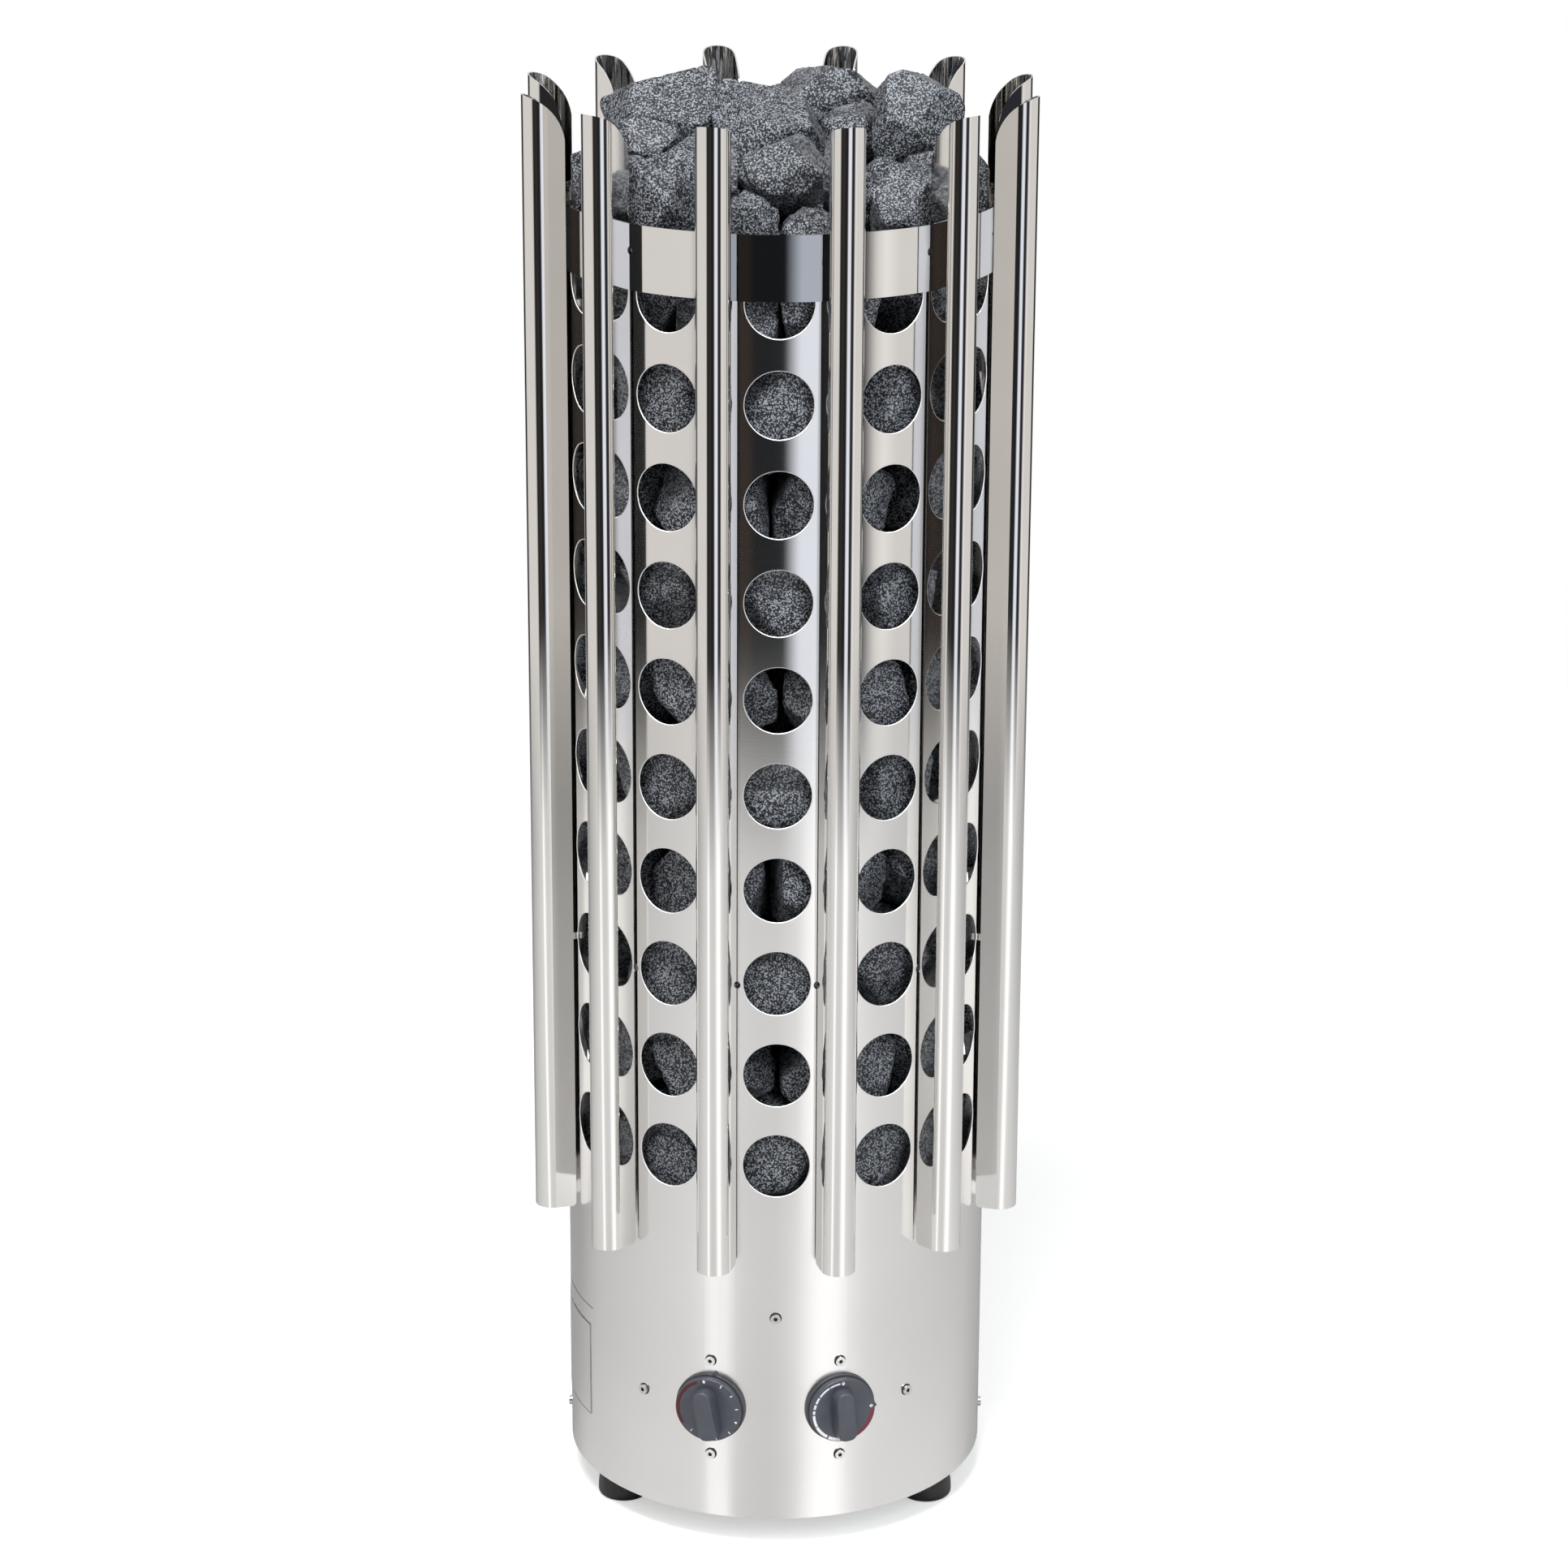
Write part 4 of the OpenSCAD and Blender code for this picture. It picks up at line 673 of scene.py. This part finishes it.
def socket_screws(node):
    """The CAD screws again, with painted shade in the sockets and a painted shadow ring round each head.
    """
    bm = bmesh.new()
    for points, faces in islands(nodes[node]):
        centre = sum((Vector(p) for p in points), Vector()) / len(points)
        axis = Vector((centre.x, centre.y, 0)).normalized()
        verts = [bm.verts.new(p) for p in points]
        for face in faces:
            made = bm.faces.new([verts[i] for i in face])
            spot = made.calc_center_median() - Vector((0, 0, centre.z))
            along = spot.dot(axis)
            aside = (spot - axis * along).length
            # Faces deep in the socket take the dark ink as painted shade in the recess
            socket_shade = aside < SOCKET_R * MM and SOCKET_LOW * MM < along < SOCKET_HIGH * MM
            made.material_index = 1 if socket_shade else 0
        # A thin dark ring on the casing round each head is a painted shadow
        profile = [(r, SHADOW_RING_LIFT) for r in (HEAD_R - 0.1, HEAD_R + SHADOW_RING_WIDTH / 2, HEAD_R + SHADOW_RING_WIDTH)]
        turn = math.degrees(math.atan2(centre.x, -centre.y))
        casing_ring(bm, turn, centre.z / MM, profile, sides=32, material=1)
    obj = piece("socket_heads", bm, "heater", LOOKS["fastener_steel"], False)
    obj.data.materials.append(DARK_INK_AND_SHADE)
    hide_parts(node)


socket_screws("front_screws")

# ------------------------------------------------------------ air hole edges

HOLE_R = 25.0
HOLE_LOW = 312.5
HOLE_PITCH = 71.7
HOLE_ROWS = 10
HOLE_COLUMNS = 12
EDGE_W = 0.55
# A real cut edge, in a metal paler than the casing as a partly painted highlight
EDGE_AND_HIGHLIGHT_LOOK = metal("cut_edge_and_highlight", (0.92, 0.91, 0.90), 0.5, 300, 0.1)

# The sheared edge of each air hole is a thin ring just inside it, in a paler metal that is partly a
# painted highlight
bm = bmesh.new()
for column in range(HOLE_COLUMNS):
    for row in range(HOLE_ROWS):
        casing_ring(bm, column * 360 / HOLE_COLUMNS, HOLE_LOW + HOLE_PITCH * row,
                    ((HOLE_R, 0.02), (HOLE_R - EDGE_W / 2, -0.05), (HOLE_R - EDGE_W, -0.5)),
                    sides=64)
piece("hole_edges", bm, "heater", EDGE_AND_HIGHLIGHT_LOOK)

# -------------------------------------------------------------------- stage


def disc(name, radius, z, rings=24, sides=96):
    """A flat round sheet."""
    bm = bmesh.new()
    centre = bm.verts.new((0, 0, z))
    rows = []
    for k in range(1, rings + 1):
        r = radius * k / rings
        rows.append([bm.verts.new((r * math.sin(2 * math.pi * i / sides),
                                   r * math.cos(2 * math.pi * i / sides), z)) for i in range(sides)])
    for i in range(sides):
        bm.faces.new((centre, rows[0][(i + 1) % sides], rows[0][i]))
        for a, b in zip(rows, rows[1:]):
            bm.faces.new((a[i], a[(i + 1) % sides], b[(i + 1) % sides], b[i]))
    bmesh.ops.recalc_face_normals(bm, faces=bm.faces)
    mesh = bpy.data.meshes.new(name)
    bm.to_mesh(mesh)
    bm.free()
    obj = bpy.data.objects.new(name, mesh)
    bpy.context.scene.collection.objects.link(obj)
    return obj


FLOOR_R = 2.6
FLOOR_FADE = (0.66, 0.97)
AXIS_SHIFT = -0.089
floor = disc("floor", FLOOR_R, 0.0)
floor_look = Look("pale_floor", roughness=0.9, specular_ior_level=0.0)
here = floor_look.where()
distance = floor_look.add("ShaderNodeVectorMath", operation="LENGTH")
floor_look.link(here, distance.inputs[0])
fade = floor_look.ramp(floor_look.math("DIVIDE", distance.outputs["Value"], FLOOR_R),
                       (FLOOR_FADE[0], 0.0), (FLOOR_FADE[1], 1.0))
# Painted pools of light and shade on the paper, which bright metal shows as soft upright bands
spot = floor_look.add("ShaderNodeSeparateXYZ")
floor_look.link(here, spot.inputs[0])
angle = floor_look.math("ARCTAN2", spot.outputs["X"],
                        floor_look.math("MULTIPLY_ADD", spot.outputs["Y"], -1.0, AXIS_SHIFT))
angle = floor_look.math("MULTIPLY_ADD", angle, 0.5 / math.pi, 0.5)


def painted_pools(*stops):
    """A painted tone of light and shade that changes round the heater; stops are (degrees from the
    front, tone).
    """
    return floor_look.ramp(angle, *[((degrees + 180) / 360, painted_tone) for degrees, painted_tone in stops])


# Painted light and shade: the floor's colour brightens and darkens round the heater for every ray but
# the camera's
painted_tone = painted_pools((-180, 0.56), (-130, 0.42), (-110, 0.60), (-80, 0.64), (-44, 0.66), (-40, 0.72),
             (-26, 0.72), (-23, 0.61), (-12, 0.57), (0, 0.56), (9, 0.63), (16, 0.72), (48, 0.72),
             (56, 0.68), (90, 0.68), (116, 0.66), (126, 0.68), (140, 0.70))
# Painted light: the floor glows in two pools for every ray but the camera's
painted_glow = painted_pools((-40, 0.0), (-38, 0.30), (-28, 0.30), (-26, 0.0), (12, 0.0), (24, 0.40), (34, 0.40),
             (46, 0.0))
# The camera sees white paper that keeps a soft shadow
PAPER = (1.0, 1.0, 1.0)
PAPER_GLOW = (0.44, 0.44, 0.44)
ray = floor_look.add("ShaderNodeLightPath")
floor_look.set("base_color", floor_look.mix(ray.outputs["Is Camera Ray"], painted_tone, PAPER))
floor_look.set("emission_color", floor_look.mix(ray.outputs["Is Camera Ray"], painted_glow, PAPER_GLOW))
floor_look.set("emission_strength", 1.0)
clear = floor_look.add("ShaderNodeBsdfTransparent")
blend = floor_look.add("ShaderNodeMixShader")
floor_out = [n for n in floor_look.tree.nodes if n.type == "OUTPUT_MATERIAL"][0]
floor_look.link(fade, blend.inputs[0])
floor_look.link(floor_look.shader.outputs[0], blend.inputs[1])
floor_look.link(clear.outputs[0], blend.inputs[2])
floor_look.link(blend.outputs[0], floor_out.inputs["Surface"])
floor.data.materials.append(floor_look.material)

# -------------------------------------------------------------------- world

world = bpy.data.worlds.new("studio")
bpy.context.scene.world = world
world.use_nodes = True
tree = world.node_tree
tree.nodes.clear()


def wnode(kind, **settings):
    """A node of the world."""
    node = tree.nodes.new(kind)
    for key, value in settings.items():
        setattr(node, key, value)
    return node


def wmath(how, a, b=0.0):
    """One step of arithmetic on two sockets or values in the world's tree."""
    node = wnode("ShaderNodeMath", operation=how)
    for i, value in enumerate((a, b)):
        if isinstance(value, bpy.types.NodeSocket):
            tree.links.new(value, node.inputs[i])
        else:
            node.inputs[i].default_value = value
    return node.outputs[0]


# The studio as bright metal sees it, by the direction round the heater: 0 is the
# front, and positive is to the right of it. (degrees, colour)
LIGHT = (0.80, 0.775, 0.75)
SOFT = (0.66, 0.64, 0.62)
COOL = (0.93, 0.97, 1.06)
DARK = (0.018, 0.020, 0.022)
BROWN = (0.045, 0.034, 0.028)
DUSK = (0.028, 0.027, 0.036)
BRIGHT = (0.98, 0.965, 0.95)
CEILING = (0.95, 0.95, 0.95, 1)
CEILING_RISE = (0.35, 0.75)
FILL = 0.34
STUDIO = [
    (-180, LIGHT), (-155, LIGHT), (-150, DARK), (-127, DARK), (-121, SOFT), (-112, LIGHT),
    (-46, LIGHT), (-38, DARK), (-16, BROWN), (-13, DARK), (3, DARK), (11, COOL), (24, COOL),
    (30, DUSK), (44, DUSK), (51, LIGHT), (56, BRIGHT), (64, LIGHT), (118, LIGHT), (127, DARK),
    (150, DARK), (155, LIGHT), (180, LIGHT)
]

direction = wnode("ShaderNodeTexCoord").outputs["Generated"]
parts = wnode("ShaderNodeSeparateXYZ")
tree.links.new(direction, parts.inputs[0])
turn = wmath("ARCTAN2", parts.outputs["X"], wmath("MULTIPLY", parts.outputs["Y"], -1.0))
share = wmath("ADD", wmath("DIVIDE", turn, 2 * math.pi), 0.5)
band = wnode("ShaderNodeValToRGB")
tree.links.new(share, band.inputs["Fac"])
ramp = band.color_ramp
for i, (degrees, colour) in enumerate(STUDIO):
    place = (degrees + 180) / 360
    stop = ramp.elements[i] if i < 2 else ramp.elements.new(place)
    stop.position = place
    stop.color = (*colour, 1)
# Above the horizon the dark flags end in a bright ceiling
rise = wnode("ShaderNodeMapRange")
tree.links.new(parts.outputs["Z"], rise.inputs["Value"])
rise.inputs["From Min"].default_value = CEILING_RISE[0]
rise.inputs["From Max"].default_value = CEILING_RISE[1]
over = wnode("ShaderNodeMix", data_type="RGBA")
tree.links.new(rise.outputs[0], over.inputs[0])
tree.links.new(band.outputs["Color"], over.inputs[6])
over.inputs[7].default_value = CEILING

path = wnode("ShaderNodeLightPath")
seen = wmath("MAXIMUM", path.outputs["Is Glossy Ray"], path.outputs["Is Transmission Ray"])
plain = wnode("ShaderNodeBackground")
plain.inputs["Color"].default_value = (1, 1, 1, 1)
plain.inputs["Strength"].default_value = FILL
studio = wnode("ShaderNodeBackground")
tree.links.new(over.outputs[2], studio.inputs["Color"])
white = wnode("ShaderNodeBackground")
white.inputs["Color"].default_value = (1, 1, 1, 1)
white.inputs["Strength"].default_value = 1.0
first = wnode("ShaderNodeMixShader")
tree.links.new(seen, first.inputs[0])
tree.links.new(plain.outputs[0], first.inputs[1])
tree.links.new(studio.outputs[0], first.inputs[2])
second = wnode("ShaderNodeMixShader")
tree.links.new(path.outputs["Is Camera Ray"], second.inputs[0])
tree.links.new(first.outputs[0], second.inputs[1])
tree.links.new(white.outputs[0], second.inputs[2])
out = wnode("ShaderNodeOutputWorld")
tree.links.new(second.outputs[0], out.inputs["Surface"])

# ------------------------------------------------------------------- lights


def area(name, place, target, size, power, colour=(1, 1, 1)):
    """A rectangular lamp turned to a target."""
    data = bpy.data.lights.new(name, "AREA")
    data.shape = "RECTANGLE"
    data.size, data.size_y = size
    data.energy = power
    data.color = colour
    obj = bpy.data.objects.new(name, data)
    bpy.context.scene.collection.objects.link(obj)
    obj.location = place
    obj.rotation_mode = "QUATERNION"
    obj.rotation_quaternion = (Vector(target) - Vector(place)).to_track_quat("-Z", "Y")


def around(degrees, distance, z):
    """A point round the heater, counted from its front."""
    a = math.radians(degrees)
    return (distance * math.sin(a), -distance * math.cos(a), z)


area("top_softbox", (-0.4, -1.3, 3.1), (0, 0, 0.9), (1.3, 1.0), 74)
area("left_strip", around(-34, 2.6, 1.9), (0, 0, 0.4), (0.10, 1.8), 16, (1.0, 0.97, 0.92))
area("right_strip", around(31, 2.6, 1.9), (0, 0, 0.4), (0.34, 1.8), 30, (0.93, 0.97, 1.0))

# ------------------------------------------------------------------- camera

CAMERA = Vector((-0.0039075, -3.1851328, 1.5954039))
TILT, YAW, ROLL = 0.31148, -0.0027369, 0.0045293
FOCAL, WIDTH, CENTRE_Y = 5472.99, 1932.0, 945.37
SENSOR = 36
side = Vector((math.cos(YAW), math.sin(YAW), 0))
ahead = Vector((-math.sin(YAW), math.cos(YAW), 0))
forward = ahead * math.cos(TILT) - Vector((0, 0, math.sin(TILT)))
up = ahead * math.sin(TILT) + Vector((0, 0, math.cos(TILT)))
right = side * math.cos(ROLL) + up * math.sin(ROLL)
top = up * math.cos(ROLL) - side * math.sin(ROLL)
camera_data = bpy.data.cameras.new("camera")
camera_data.sensor_width = SENSOR
camera_data.lens = FOCAL / WIDTH * SENSOR
camera_data.shift_y = (CENTRE_Y - WIDTH / 2) / WIDTH
camera = bpy.data.objects.new("camera", camera_data)
bpy.context.scene.collection.objects.link(camera)
camera.matrix_world = Matrix((
    (right.x, top.x, -forward.x, CAMERA.x),
    (right.y, top.y, -forward.y, CAMERA.y),
    (right.z, top.z, -forward.z, CAMERA.z),
    (0, 0, 0, 1)))
bpy.context.scene.camera = camera

bpy.context.scene.view_settings.view_transform = "Standard"
